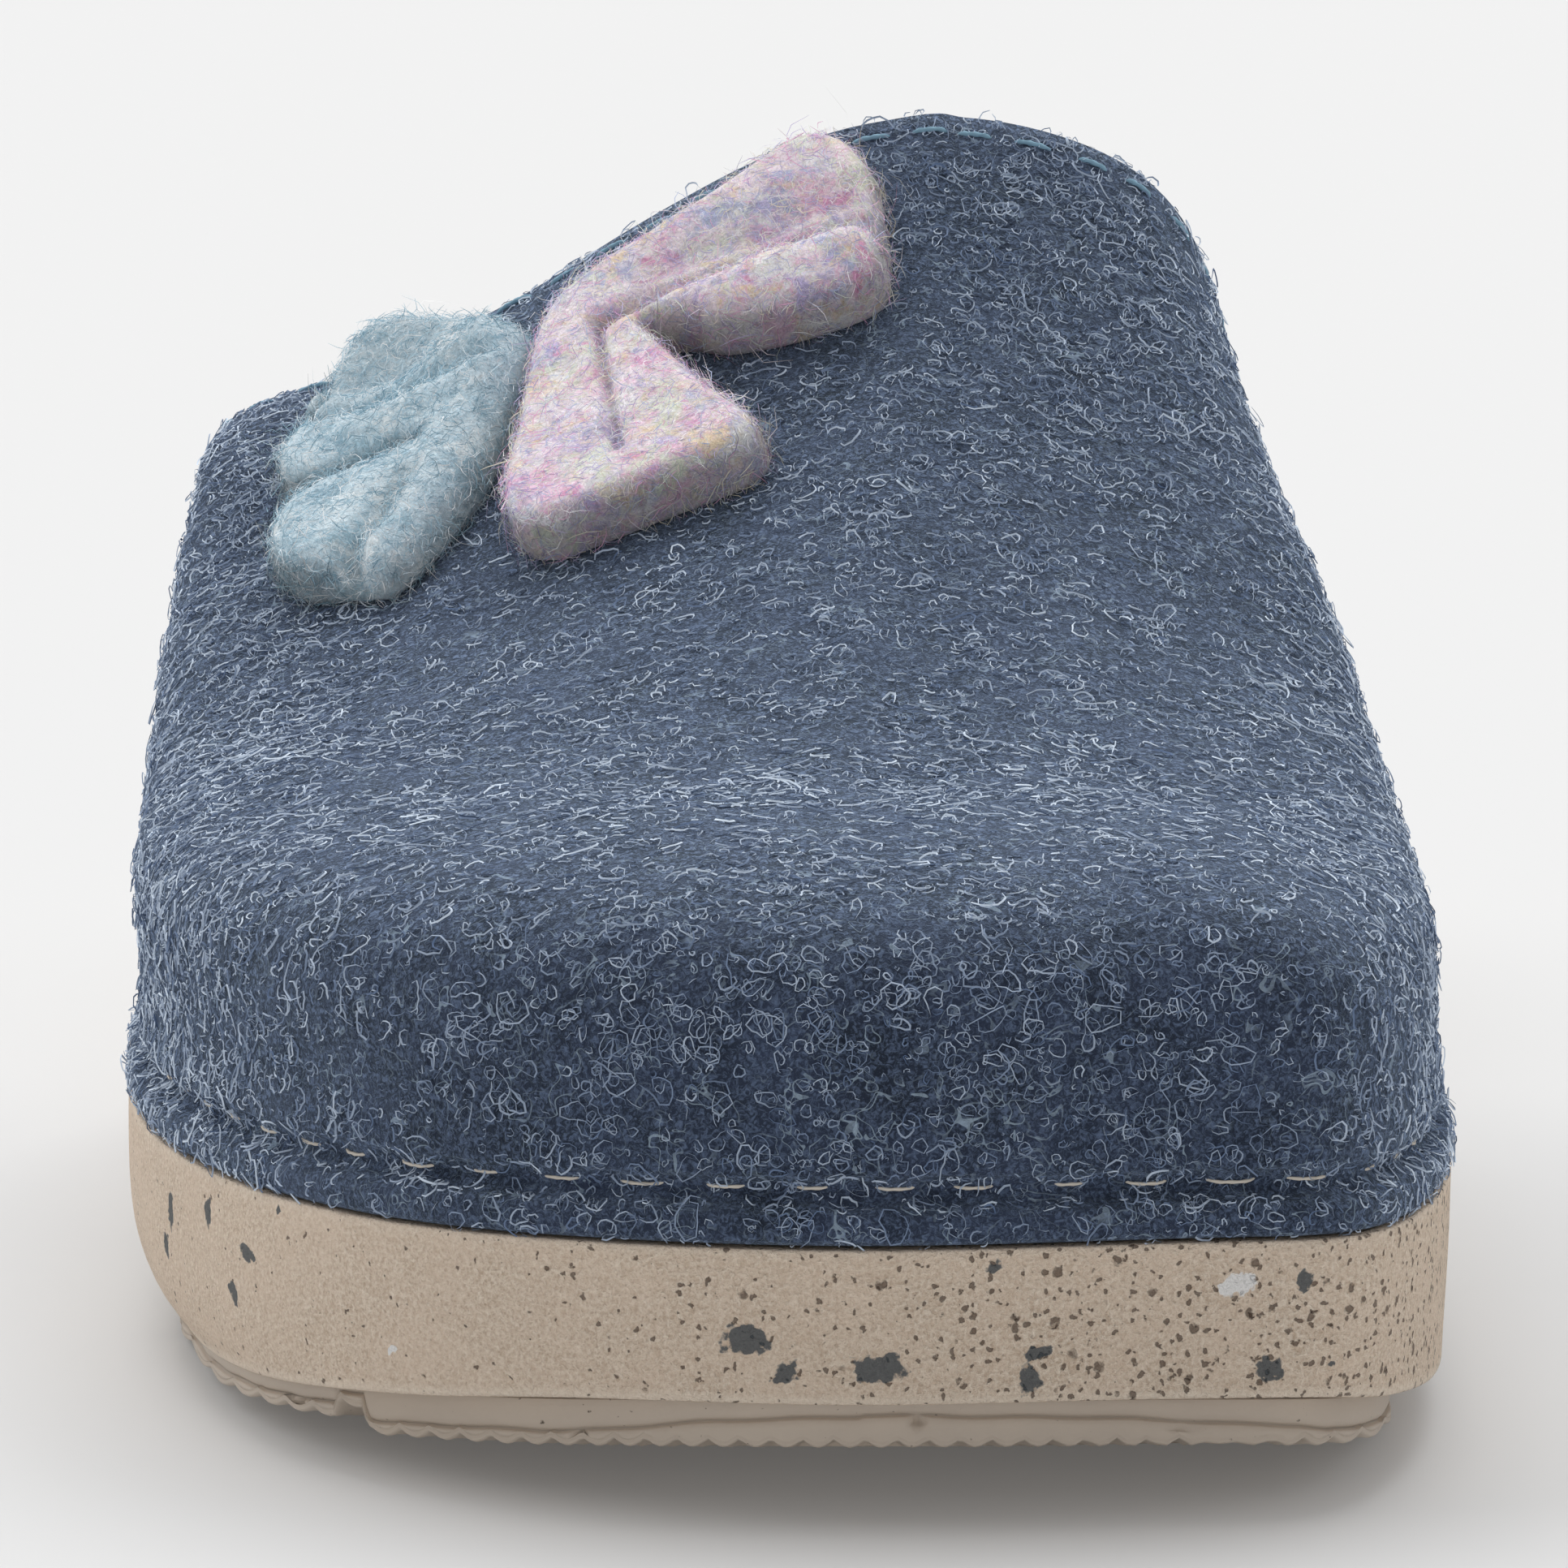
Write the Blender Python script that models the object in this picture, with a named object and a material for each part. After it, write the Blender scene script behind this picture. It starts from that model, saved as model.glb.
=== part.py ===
"""A felt mule slipper for the right foot.

The toe points to -Y, the big-toe side lies at +X and the tread stands on Z = 0, with the origin under
the middle of the shoe. Sizes are written in millimetres and turned to metres where a mesh is made.
"""
import math
from collections import namedtuple

import bmesh
import bpy
import numpy as np
from mathutils import Vector
from mathutils.bvhtree import BVHTree

MM = 0.001

# Driving sizes of the shoe, EU size 38
SOLE_LENGTH = 256.0
BALL_WIDTH = 97.0
INSTEP_HEIGHT = 86.0
INSTEP_FROM_TOE = 128.0
FELT_WALL = 3.2
SEAT_GAP = 0.3

# Sole: a foam slab with ground sides over a moulded tread that is set in from the slab's edge
TREAD_HEIGHT = 3.3
TREAD_INSET = 3.6
TREAD_WEB = 1.2
FOAM_DRAFT = 0.5
FOAM_EDGE_ROUND = 0.5
RING_STATIONS = 32

# Outline of the sole, walked from the toe tip along the big-toe side to the heel and back.
# across: percent of the ball width, plus towards the big toe. along: percent of the length.
EdgePoint = namedtuple("EdgePoint", "place across along")
SOLE_EDGE = (
    EdgePoint("toe tip", 6.5, 0.0),
    EdgePoint("big toe front", 30.0, 1.3),
    EdgePoint("big toe corner", 38.6, 2.8),
    EdgePoint("big toe side", 43.3, 7.2),
    EdgePoint("inner ball", 46.6, 25.0),
    EdgePoint("inner instep", 44.6, 41.0),
    EdgePoint("inner waist", 38.4, 56.6),
    EdgePoint("inner heel", 35.0, 74.2),
    EdgePoint("inner heel corner", 25.8, 92.6),
    EdgePoint("heel back", -1.0, 100.0),
    EdgePoint("outer heel corner", -28.3, 92.6),
    EdgePoint("outer heel", -39.0, 76.2),
    EdgePoint("outer waist", -46.8, 58.6),
    EdgePoint("outer ball", -49.6, 38.0),
    EdgePoint("little toe side", -46.6, 18.8),
    EdgePoint("little toe corner", -36.8, 8.8),
    EdgePoint("little toe front", -15.5, 1.6),
)

# Side profile of the sole. along: percent of the length. tread and foam_top: heights over the floor.
ProfileRow = namedtuple("ProfileRow", "along tread foam_top")
SOLE_PROFILE = (
    ProfileRow(0, 5.0, 18.8),
    ProfileRow(4, 3.4, 18.5),
    ProfileRow(10, 1.4, 18.3),
    ProfileRow(17, 0.2, 18.2),
    ProfileRow(21, 0.0, 18.2),
    ProfileRow(46, 0.0, 19.0),
    ProfileRow(54, 1.8, 20.4),
    ProfileRow(62, 1.8, 22.8),
    ProfileRow(69, 0.0, 24.8),
    ProfileRow(80, 0.0, 26.2),
    ProfileRow(96, 0.0, 26.6),
    ProfileRow(100, 0.8, 26.6),
)

# Ridge of the upper, from the flat top of the toe back to the throat.
# from_toe and across in millimetres, height in percent of the instep height.
RidgeRow = namedtuple("RidgeRow", "from_toe across height")
RIDGE = (
    RidgeRow(40.0, 3.0, 51.4),
    RidgeRow(50.0, 4.5, 53.0),
    RidgeRow(66.0, 6.5, 58.6),
    RidgeRow(86.0, 9.0, 68.6),
    RidgeRow(108.0, 11.5, 82.6),
    RidgeRow(INSTEP_FROM_TOE, 13.5, 100.0),
)

# Side walls of the upper, walked round the sole's edge from the outer end of the collar (-1) past the
# toe tip (0) to its inner end (1). shoulder: height over the floor where the crown turns down into
# the wall. squareness: how tightly it turns, as the power of a superellipse. flare: how far the wall
# leans out by then.
WallRow = namedtuple("WallRow", "around shoulder squareness flare")
WALLS = (
    WallRow(-1.00, 62.5, 16.0, 3.0),
    WallRow(-0.85, 52.0, 9.0, 2.0),
    WallRow(-0.68, 43.6, 5.0, 1.2),
    WallRow(-0.50, 42.0, 4.2, 1.0),
    WallRow(-0.20, 43.0, 4.0, 0.0),
    WallRow(0.20, 43.0, 4.0, 0.0),
    WallRow(0.50, 42.5, 4.4, 0.0),
    WallRow(0.68, 47.0, 4.5, 0.0),
    WallRow(0.85, 62.5, 4.5, 0.0),
    WallRow(1.00, 82.0, 4.8, 0.0),
)
COLLAR_LEAN_OUTER = 30.0
COLLAR_LEAN_INNER = 26.0
COLLAR_LEAN_POWER = 1.5
CROWN_POWER = 1.05

# Foot of the wall: a flange turned out onto the sole, pulled in by the stitch line above it.
# height: over the sole. outward: from the plain wall.
FlangeRow = namedtuple("FlangeRow", "height outward")
FLANGE_STEP = 1.0
FLANGE = (
    FlangeRow(0.0, 0.8),
    FlangeRow(1.8, 0.9),
    FlangeRow(2.7, 0.6),
    FlangeRow(3.6, -0.4),
    FlangeRow(5.2, 0.1),
    FlangeRow(9.0, 0.0),
)
SIDE_COLUMNS = 14
TOE_COLUMNS = 24
DOME_ROWS = 13

# Grooves that part the tread into lugs, from one end to the other, in millimetres
Groove = namedtuple("Groove", "name start end width")
GROOVES = (
    Groove("outer_toe", (-27.0, -4.0), (-30.0, 112.0), 2.6),
    Groove("toe_bend", (-60.0, 60.0), (60.0, 54.0), 2.6),
    Groove("ball_bend", (-60.0, 92.0), (60.0, 82.0), 2.6),
    Groove("waist", (0.0, 122.0), (0.0, 170.0), 120.0),
    Groove("heel_middle", (-1.0, 160.0), (-1.0, 262.0), 2.6),
    Groove("heel_cross", (-60.0, 208.0), (60.0, 208.0), 2.6),
)
GROOVE_STEPS = 12
TREAD_EDGE_ROUND = 0.6

# Felt footbed: inside the upper in front, out to the sole's edge behind the collar
INSOLE_THICKNESS = 4.0
INSOLE_EDGE_ROUND = 0.8
INSOLE_HEEL_INSET = 1.4
INSOLE_STEP_START = 161.0
INSOLE_STEP_END = 206.0

# Felt wings sewn on the instep. Each is a strip of felt from the tip of its front wing round a pinched
# knot to the tip of its back wing. A row is one rung across the strip, from its outer edge to its edge
# at the gap between the wings. In each, x runs to the big-toe side and y up the instep, in millimetres
# on the felt from the anchor, which is given as across, from_toe and height.
Rung = namedtuple("Rung", "outer_x outer_y gap_x gap_y")
Wings = namedtuple("Wings", "name anchor normal rungs colour")
WINGS_PINK = Wings("applique_pink", (-14.0, 118.8, 70.1), (-0.32, -0.41, 0.855), (
    Rung(-1.5, -36.4, 9.5, -34.4),
    Rung(-4.6, -34.0, 13.2, -34.2),
    Rung(-5.8, -30.5, 15.0, -32.6),
    Rung(-6.6, -24.5, 13.6, -28.4),
    Rung(-6.5, -18.5, 11.6, -23.8),
    Rung(-5.8, -12.5, 8.8, -18.0),
    Rung(-4.9, -7.0, 6.4, -12.8),
    Rung(-3.2, -3.0, 5.0, -9.2),
    Rung(-0.5, -0.8, 6.0, -8.4),
    Rung(2.8, 1.4, 8.3, -9.6),
    Rung(7.0, 2.9, 11.4, -12.0),
    Rung(12.4, 5.3, 15.2, -13.0),
    Rung(16.6, 7.8, 18.6, -12.8),
    Rung(20.4, 9.0, 21.8, -11.6),
    Rung(22.8, 8.0, 23.6, -10.0),
    Rung(24.0, 5.6, 24.2, -7.6),
), (0.62, 0.48, 0.58))
WINGS_TEAL = Wings("applique_teal", (-25.2, 122.3, 65.2), (-0.355, -0.333, 0.873), (
    Rung(-4.5, -34.6, -12.6, -30.6),
    Rung(-2.6, -32.4, -15.0, -28.0),
    Rung(-0.6, -28.6, -15.6, -24.4),
    Rung(1.8, -23.4, -14.6, -20.8),
    Rung(3.6, -19.0, -11.6, -19.6),
    Rung(5.2, -14.6, -6.8, -18.0),
    Rung(7.2, -8.4, -2.4, -16.2),
    Rung(7.4, -4.6, -3.6, -15.4),
    Rung(5.4, -1.6, -6.6, -15.6),
    Rung(2.6, 1.4, -9.6, -16.4),
    Rung(-0.6, 4.2, -12.4, -16.2),
    Rung(-4.4, 6.6, -14.6, -14.4),
    Rung(-7.8, 6.6, -15.6, -11.2),
    Rung(-10.6, 3.8, -15.0, -7.6),
), (0.21, 0.34, 0.39))
WING_THICKNESS = 4.5
WING_EDGE_HEIGHT = 3.6
WING_CREASE = 1.6
WING_CREASE_WIDTH = 0.13
WING_COLUMNS = 10
WING_RAY_START = 20.0


def smooth_table(at, places, values):
    """Monotone cubic through a table: it eases between rows and never overshoots them."""
    places = np.asarray(places, float)
    values = np.asarray(values, float)
    steps = np.diff(places)
    rises = np.diff(values) / steps
    slopes = np.zeros(len(places))
    same_way = rises[:-1] * rises[1:] > 0
    mean = 2 * rises[:-1] * rises[1:] / np.where(same_way, rises[:-1] + rises[1:], 1.0)
    slopes[1:-1] = np.where(same_way, mean, 0.0)
    slopes[-1] = rises[-1]
    at = np.clip(np.asarray(at, float), places[0], places[-1])
    row = np.clip(np.searchsorted(places, at, side="right") - 1, 0, len(steps) - 1)
    t = (at - places[row]) / steps[row]
    start = values[row] * (1 + 2 * t) * (1 - t) ** 2 + slopes[row] * steps[row] * t * (1 - t) ** 2
    return start + values[row + 1] * t * t * (3 - 2 * t) + slopes[row + 1] * steps[row] * t * t * (t - 1)


def column(rows, name):
    """One named column of a table."""
    return [getattr(row, name) for row in rows]


def tread_height(from_toe):
    share = np.asarray(from_toe) * 100 / SOLE_LENGTH
    return smooth_table(share, column(SOLE_PROFILE, "along"), column(SOLE_PROFILE, "tread"))


def foam_top(from_toe):
    share = np.asarray(from_toe) * 100 / SOLE_LENGTH
    return smooth_table(share, column(SOLE_PROFILE, "along"), column(SOLE_PROFILE, "foam_top"))


def closed_spline(points, count):
    """Periodic cubic curve through points, with a chord-length parameter."""
    points = np.asarray(points, float)
    total = len(points)
    chords = np.linalg.norm(np.roll(points, -1, axis=0) - points, axis=1)
    before = np.roll(chords, 1)
    system = np.zeros((total, total))
    index = np.arange(total)
    system[index, index - 1] = chords
    system[index, index] = 2 * (before + chords)
    system[index, (index + 1) % total] = before
    ahead = (np.roll(points, -1, axis=0) - points) / chords[:, None]
    behind = np.roll(ahead, 1, axis=0)
    slopes = np.linalg.solve(system, 3 * (chords[:, None] * behind + before[:, None] * ahead))
    ends = np.concatenate([[0.0], np.cumsum(chords)])
    at = np.linspace(0, ends[-1], count, endpoint=False)
    row = np.searchsorted(ends, at, side="right") - 1
    t = ((at - ends[row]) / chords[row])[:, None]
    span = chords[row][:, None]
    after = (row + 1) % total
    curve = points[row] * (1 + 2 * t) * (1 - t) ** 2 + slopes[row] * span * t * (1 - t) ** 2
    return curve + points[after] * t * t * (3 - 2 * t) + slopes[after] * span * t * t * (t - 1)


def edge_curve():
    """The sole's outline as (across, from_toe), starting at the toe tip, scaled to width and length."""
    curve = closed_spline([(row.across, row.along) for row in SOLE_EDGE], 2400)
    low = curve.min(axis=0)
    spread = curve.max(axis=0) - low
    curve = (curve - low) / spread * (BALL_WIDTH, SOLE_LENGTH) - (BALL_WIDTH / 2, 0)
    return np.roll(curve, -np.argmin(curve[:, 1]), axis=0)


def inset(curve, distance):
    """A closed plan curve moved inwards along its own normals."""
    along = np.roll(curve, -1, axis=0) - np.roll(curve, 1, axis=0)
    along /= np.linalg.norm(along, axis=1)[:, None]
    inward = np.stack([-along[:, 1], along[:, 0]], axis=1)
    return curve + inward * np.broadcast_to(distance, len(curve))[:, None]


EDGE = edge_curve()


def halves(curve):
    """The inner and outer halves of an outline, each from toe to heel."""
    heel = np.argmax(curve[:, 1])
    outer = np.concatenate([curve[heel:], curve[:1]])[::-1]
    return curve[:heel + 1], outer


def sole_ring(distance=0.0):
    """The outline at matching stations on both sides, closer together at toe and heel, then moved in."""
    angle = np.linspace(0, math.pi, RING_STATIONS + 1)
    stations = SOLE_LENGTH * (1 - np.cos(angle)) / 2
    inner, outer = halves(EDGE)
    inner_side = np.interp(stations, inner[:, 1], inner[:, 0])
    outer_side = np.interp(stations, outer[:, 1], outer[:, 0])
    across = np.concatenate([inner_side, outer_side[-2:0:-1]])
    from_toe = np.concatenate([stations, stations[-2:0:-1]])
    return inset(np.stack([across, from_toe], axis=1), distance)


def raise_ring(plan, heights):
    """Plan points with their heights, as rows of across, from_toe, height."""
    return np.column_stack([plan, heights])


def place(points):
    """Across, from_toe and height in millimetres to metres in the shoe's frame."""
    return (np.asarray(points, float) - (0, SOLE_LENGTH / 2, 0)) * MM


def make_object(name, points, faces, colour, roughness):
    """A smooth-shaded object from points in millimetres, its doubles merged and faces turned outwards."""
    mesh = bpy.data.meshes.new(name)
    mesh.from_pydata(place(points).tolist(), [], faces)
    work = bmesh.new()
    work.from_mesh(mesh)
    bmesh.ops.remove_doubles(work, verts=work.verts, dist=MM * 0.001)
    bmesh.ops.recalc_face_normals(work, faces=work.faces)
    work.to_mesh(mesh)
    work.free()
    mesh.shade_smooth()
    mesh.set_sharp_from_angle(angle=math.radians(40))
    body = bpy.data.objects.new(name, mesh)
    bpy.context.collection.objects.link(body)
    material = bpy.data.materials.new(name)
    material.use_nodes = True
    shader = material.node_tree.nodes["Principled BSDF"]
    shader.inputs["Base Color"].default_value = (*colour, 1)
    shader.inputs["Roughness"].default_value = roughness
    mesh.materials.append(material)
    return body


def slab(rings):
    """Points and faces of a solid through rings of matching stations, closed across its two ends."""
    total = len(rings[0])
    points = np.concatenate(rings)
    faces = []
    for level in range(len(rings) - 1):
        for i in range(total):
            j = (i + 1) % total
            start = level * total
            faces.append((start + i, start + j, start + total + j, start + total + i))
    for level in (0, len(rings) - 1):
        start = level * total
        for i in range(total // 2):
            corners = [i, i + 1, total - i - 1, (total - i) % total]
            faces.append(tuple(start + k for k in dict.fromkeys(corners)))
    return points, faces


def make_midsole():
    rim = sole_ring()
    low = sole_ring(FOAM_DRAFT)
    under = sole_ring(FOAM_DRAFT + FOAM_EDGE_ROUND)
    rings = [
        raise_ring(under, tread_height(under[:, 1]) + TREAD_HEIGHT),
        raise_ring(low, tread_height(low[:, 1]) + TREAD_HEIGHT + FOAM_EDGE_ROUND),
        raise_ring(rim, foam_top(rim[:, 1])),
    ]
    return make_object("midsole", *slab(rings), (0.48, 0.38, 0.30), 0.85)


def ridge(from_toe, depth):
    """Ridge of the upper at stations from the toe, lowered by depth for the inner face."""
    places = column(RIDGE, "from_toe")
    across = smooth_table(from_toe, places, column(RIDGE, "across"))
    height = smooth_table(from_toe, places, column(RIDGE, "height")) * INSTEP_HEIGHT / 100
    return np.stack([across, from_toe, height - depth], axis=1)


def feather_edge(depth, side_columns, toe_columns):
    """Where the wall's columns meet the sole, the ridge points they rise to and their plan normals."""
    edge = inset(EDGE, FLANGE_STEP + depth)
    front = RIDGE[0].from_toe
    share = np.linspace(1, 0, side_columns + 1)
    stations = front + (INSTEP_FROM_TOE - front) * share
    tops = ridge(stations, depth)
    inner, outer = halves(edge)
    feet = []
    leans = []
    for side, lean in ((outer, COLLAR_LEAN_OUTER), (inner, COLLAR_LEAN_INNER)):
        leans.append(lean * share ** 2)
        from_toe = stations + leans[-1]
        feet.append(np.stack([np.interp(from_toe, side[:, 1], side[:, 0]), from_toe], axis=1))
    nose = np.concatenate([outer[outer[:, 1] < front][::-1], inner[inner[:, 1] < front][1:]])
    nose = np.concatenate([feet[0][-1:], nose, feet[1][-1:]])
    run = np.concatenate([[0], np.cumsum(np.linalg.norm(np.diff(nose, axis=0), axis=1))])
    at = np.linspace(0, run[-1], toe_columns + 1)
    toe = np.stack([np.interp(at, run, nose[:, k]) for k in (0, 1)], axis=1)
    foot = np.concatenate([feet[0][:-1], toe, feet[1][-2::-1]])
    lean = np.concatenate([leans[0][:-1], np.zeros(toe_columns + 1), leans[1][-2::-1]])
    top = np.concatenate([tops[:-1], np.repeat(tops[-1:], toe_columns + 1, axis=0), tops[-2::-1]])
    around = np.concatenate([-0.5 - share[:-1] / 2, np.linspace(-0.5, 0.5, toe_columns + 1),
                             0.5 + share[-2::-1] / 2])
    along = np.gradient(foot, axis=0)
    along /= np.linalg.norm(along, axis=1)[:, None]
    outward = np.stack([along[:, 1], -along[:, 0]], axis=1)
    return foot, top, lean, around, outward


def upper_grid(depth=0.0, flange=1.0, side_columns=SIDE_COLUMNS, toe_columns=TOE_COLUMNS,
               dome_rows=DOME_ROWS):
    """One face of the upper, columns round the sole's edge by rows from the sole to the ridge.

    The foot of each column is upright with the flange's offsets. Above it the wall turns over as a
    superellipse into the crown, which swells from the shoulder's height to the ridge's.
    """
    foot, top, lean, around, outward = feather_edge(depth, side_columns, toe_columns)
    shoulder = smooth_table(around, column(WALLS, "around"), column(WALLS, "shoulder")) - depth
    power = smooth_table(around, column(WALLS, "around"), column(WALLS, "squareness"))[:, None]
    flare = smooth_table(around, column(WALLS, "around"), column(WALLS, "flare"))[:, None]
    base = foam_top(foot[:, 1]) + SEAT_GAP
    heights = np.array(column(FLANGE, "height"))
    steps = np.array(column(FLANGE, "outward")) * flange
    v = np.linspace(0, 1, dome_rows + 1)[None, 1:]
    warp = v ** (power / 2) / (v ** (power / 2) + (1 - v) ** (power / 2))
    reach = np.cos(warp * math.pi / 2) ** (2 / power)
    reach[:, -1] = 0
    lift = np.sin(warp * math.pi / 2) ** (2 / power)
    swell = ((1 + np.cos(math.pi * reach)) / 2) ** CROWN_POWER
    crown = shoulder[:, None] + (top[:, 2] - shoulder)[:, None] * swell
    spring = (base + heights[-1])[:, None]
    height = np.concatenate([base[:, None] + heights[None], spring + (crown - spring) * lift], axis=1)
    reach = np.concatenate([np.ones((len(foot), len(heights))), reach], axis=1)
    steps = np.concatenate([np.tile(steps, (len(foot), 1)), flare * lift * reach[:, len(heights):]], axis=1)
    drop = np.clip((top[:, 2:3] - height) / (top[:, 2] - base)[:, None], 0, 1)
    across = top[:, :1] + (foot[:, :1] - top[:, :1]) * reach + outward[:, :1] * steps
    behind = foot[:, 1] - lean - top[:, 1]
    from_toe = top[:, 1:2] + behind[:, None] * reach + lean[:, None] * drop ** COLLAR_LEAN_POWER
    return np.stack([across, from_toe + outward[:, 1:] * steps, height], axis=2)


def make_upper():
    """The hollow felt upper: outer and inner faces joined at the collar and along the sole."""
    outer = upper_grid()
    inner = upper_grid(depth=FELT_WALL, flange=0.0)
    columns, rows = outer.shape[:2]
    points = np.concatenate([outer.reshape(-1, 3), inner.reshape(-1, 3)])
    number = np.arange(len(points)).reshape(2, columns, rows)
    faces = []
    for i in range(columns - 1):
        for j in range(rows - 1):
            for face in number:
                faces.append((face[i, j], face[i + 1, j], face[i + 1, j + 1], face[i, j + 1]))
        faces.append((number[0, i, 0], number[0, i + 1, 0], number[1, i + 1, 0], number[1, i, 0]))
    for i in (0, columns - 1):
        for j in range(rows - 1):
            faces.append((number[0, i, j], number[0, i, j + 1], number[1, i, j + 1], number[1, i, j]))
    return make_object("upper", points, [tuple(map(int, f)) for f in faces], (0.07, 0.10, 0.17), 0.95)


def strip(sections):
    """Points and faces of a solid through four-cornered sections, closed at both ends."""
    points = np.concatenate(sections)
    faces = [(3, 2, 1, 0)]
    for k in range(len(sections) - 1):
        for i in range(4):
            j = (i + 1) % 4
            faces.append((4 * k + i, 4 * k + j, 4 * k + 4 + j, 4 * k + 4 + i))
    last = 4 * (len(sections) - 1)
    faces.append((last, last + 1, last + 2, last + 3))
    return points, faces


def make_groove(groove):
    """A cutter that follows the tread's underside and leaves the web above it."""
    start = np.array(groove.start)
    run = np.array(groove.end) - start
    side = np.array([run[1], -run[0]]) / np.linalg.norm(run) * groove.width / 2
    sections = []
    for share in np.linspace(0, 1, GROOVE_STEPS + 1):
        middle = start + run * share
        ceiling = float(tread_height(middle[1])) + TREAD_HEIGHT - SEAT_GAP - TREAD_WEB
        left, right = middle - side, middle + side
        floor = -TREAD_HEIGHT
        sections.append([(*left, floor), (*right, floor), (*right, ceiling), (*left, ceiling)])
    cutter = make_object("groove_" + groove.name, *strip(np.array(sections)), (0.1, 0.1, 0.1), 0.9)
    cutter.hide_render = True
    cutter.display_type = "WIRE"
    return cutter


def make_outsole():
    """The moulded tread: a thin web under the foam with lugs parted by grooves."""
    rim = sole_ring(TREAD_INSET)
    under = sole_ring(TREAD_INSET + TREAD_EDGE_ROUND)
    rings = [
        raise_ring(under, tread_height(under[:, 1])),
        raise_ring(rim, tread_height(rim[:, 1]) + TREAD_EDGE_ROUND),
        raise_ring(rim, tread_height(rim[:, 1]) + TREAD_HEIGHT - SEAT_GAP),
    ]
    tread = make_object("outsole", *slab(rings), (0.40, 0.33, 0.27), 0.7)
    for groove in GROOVES:
        cut = tread.modifiers.new("cut " + groove.name, "BOOLEAN")
        cut.object = make_groove(groove)
        cut.operation = "DIFFERENCE"
        cut.solver = "EXACT"
    return tread


def make_insole():
    """The felt footbed, inside the upper's wall in front and out to the sole's edge at the heel."""
    plain = sole_ring()
    front = FLANGE_STEP + FELT_WALL + SEAT_GAP * 2
    ease = np.clip((plain[:, 1] - INSOLE_STEP_START) / (INSOLE_STEP_END - INSOLE_STEP_START), 0, 1)
    distance = front + (INSOLE_HEEL_INSET - front) * ease * ease * (3 - 2 * ease)
    rim = sole_ring(distance)
    top = sole_ring(distance + INSOLE_EDGE_ROUND)
    rings = [
        raise_ring(rim, foam_top(rim[:, 1]) + SEAT_GAP),
        raise_ring(rim, foam_top(rim[:, 1]) + SEAT_GAP + INSOLE_THICKNESS - INSOLE_EDGE_ROUND),
        raise_ring(top, foam_top(top[:, 1]) + SEAT_GAP + INSOLE_THICKNESS),
    ]
    return make_object("insole", *slab(rings), (0.09, 0.11, 0.16), 0.95)


def make_wings(wings, upper):
    """A pair of felt wings laid on the upper: each rung is dropped on the felt and thickened.

    Across a rung the felt rises from its rounded edges to full thickness and dips at the fold in its
    middle, and the two tip rungs are low, so that the tips are round too.
    """
    up = Vector(wings.normal).normalized()
    right = (Vector((1, 0, 0)) - up * up.x).normalized()
    uphill = up.cross(right)
    anchor = Vector(wings.anchor)
    corners = [v.co / MM for v in upper.data.vertices]
    tree = BVHTree.FromPolygons(corners, [tuple(face.vertices) for face in upper.data.polygons])
    shift = Vector((0, SOLE_LENGTH / 2, 0))
    shares = np.linspace(0, 1, WING_COLUMNS + 1)
    fold = WING_CREASE * np.exp(-((shares - 0.5) / WING_CREASE_WIDTH) ** 2)
    body = WING_EDGE_HEIGHT + (WING_THICKNESS - WING_EDGE_HEIGHT) * np.sqrt(np.sin(math.pi * shares)) - fold
    bottoms = []
    tops = []
    for number, rung in enumerate(wings.rungs):
        at_tip = number in (0, len(wings.rungs) - 1)
        for share, thickness in zip(shares, body):
            x = rung.outer_x + (rung.gap_x - rung.outer_x) * share
            y = rung.outer_y + (rung.gap_y - rung.outer_y) * share
            start = anchor + right * x + uphill * y + up * WING_RAY_START - shift
            spot, facing, face, distance = tree.ray_cast(start, -up)
            bottom = spot + up * (SEAT_GAP / abs(up.dot(facing))) + shift
            bottoms.append(bottom)
            tops.append(bottom + up * (WING_EDGE_HEIGHT if at_tip else thickness))
    count = len(shares)
    rows = len(wings.rungs)
    number = np.arange(2 * rows * count).reshape(2, rows, count)
    faces = []
    for i in range(rows - 1):
        for j in range(count - 1):
            for sheet in number:
                faces.append((sheet[i, j], sheet[i + 1, j], sheet[i + 1, j + 1], sheet[i, j + 1]))
        for j in (0, count - 1):
            faces.append((number[0, i, j], number[0, i + 1, j], number[1, i + 1, j], number[1, i, j]))
    for i in (0, rows - 1):
        for j in range(count - 1):
            faces.append((number[0, i, j], number[0, i, j + 1], number[1, i, j + 1], number[1, i, j]))
    return make_object(wings.name, np.array(bottoms + tops), [tuple(map(int, f)) for f in faces],
                       wings.colour, 0.95)


for old in list(bpy.data.objects):
    bpy.data.objects.remove(old)

make_outsole()
make_midsole()
make_insole()
felt = make_upper()
for pair in (WINGS_PINK, WINGS_TEAL):
    make_wings(pair, felt)
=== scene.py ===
import math
from collections import namedtuple

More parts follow.
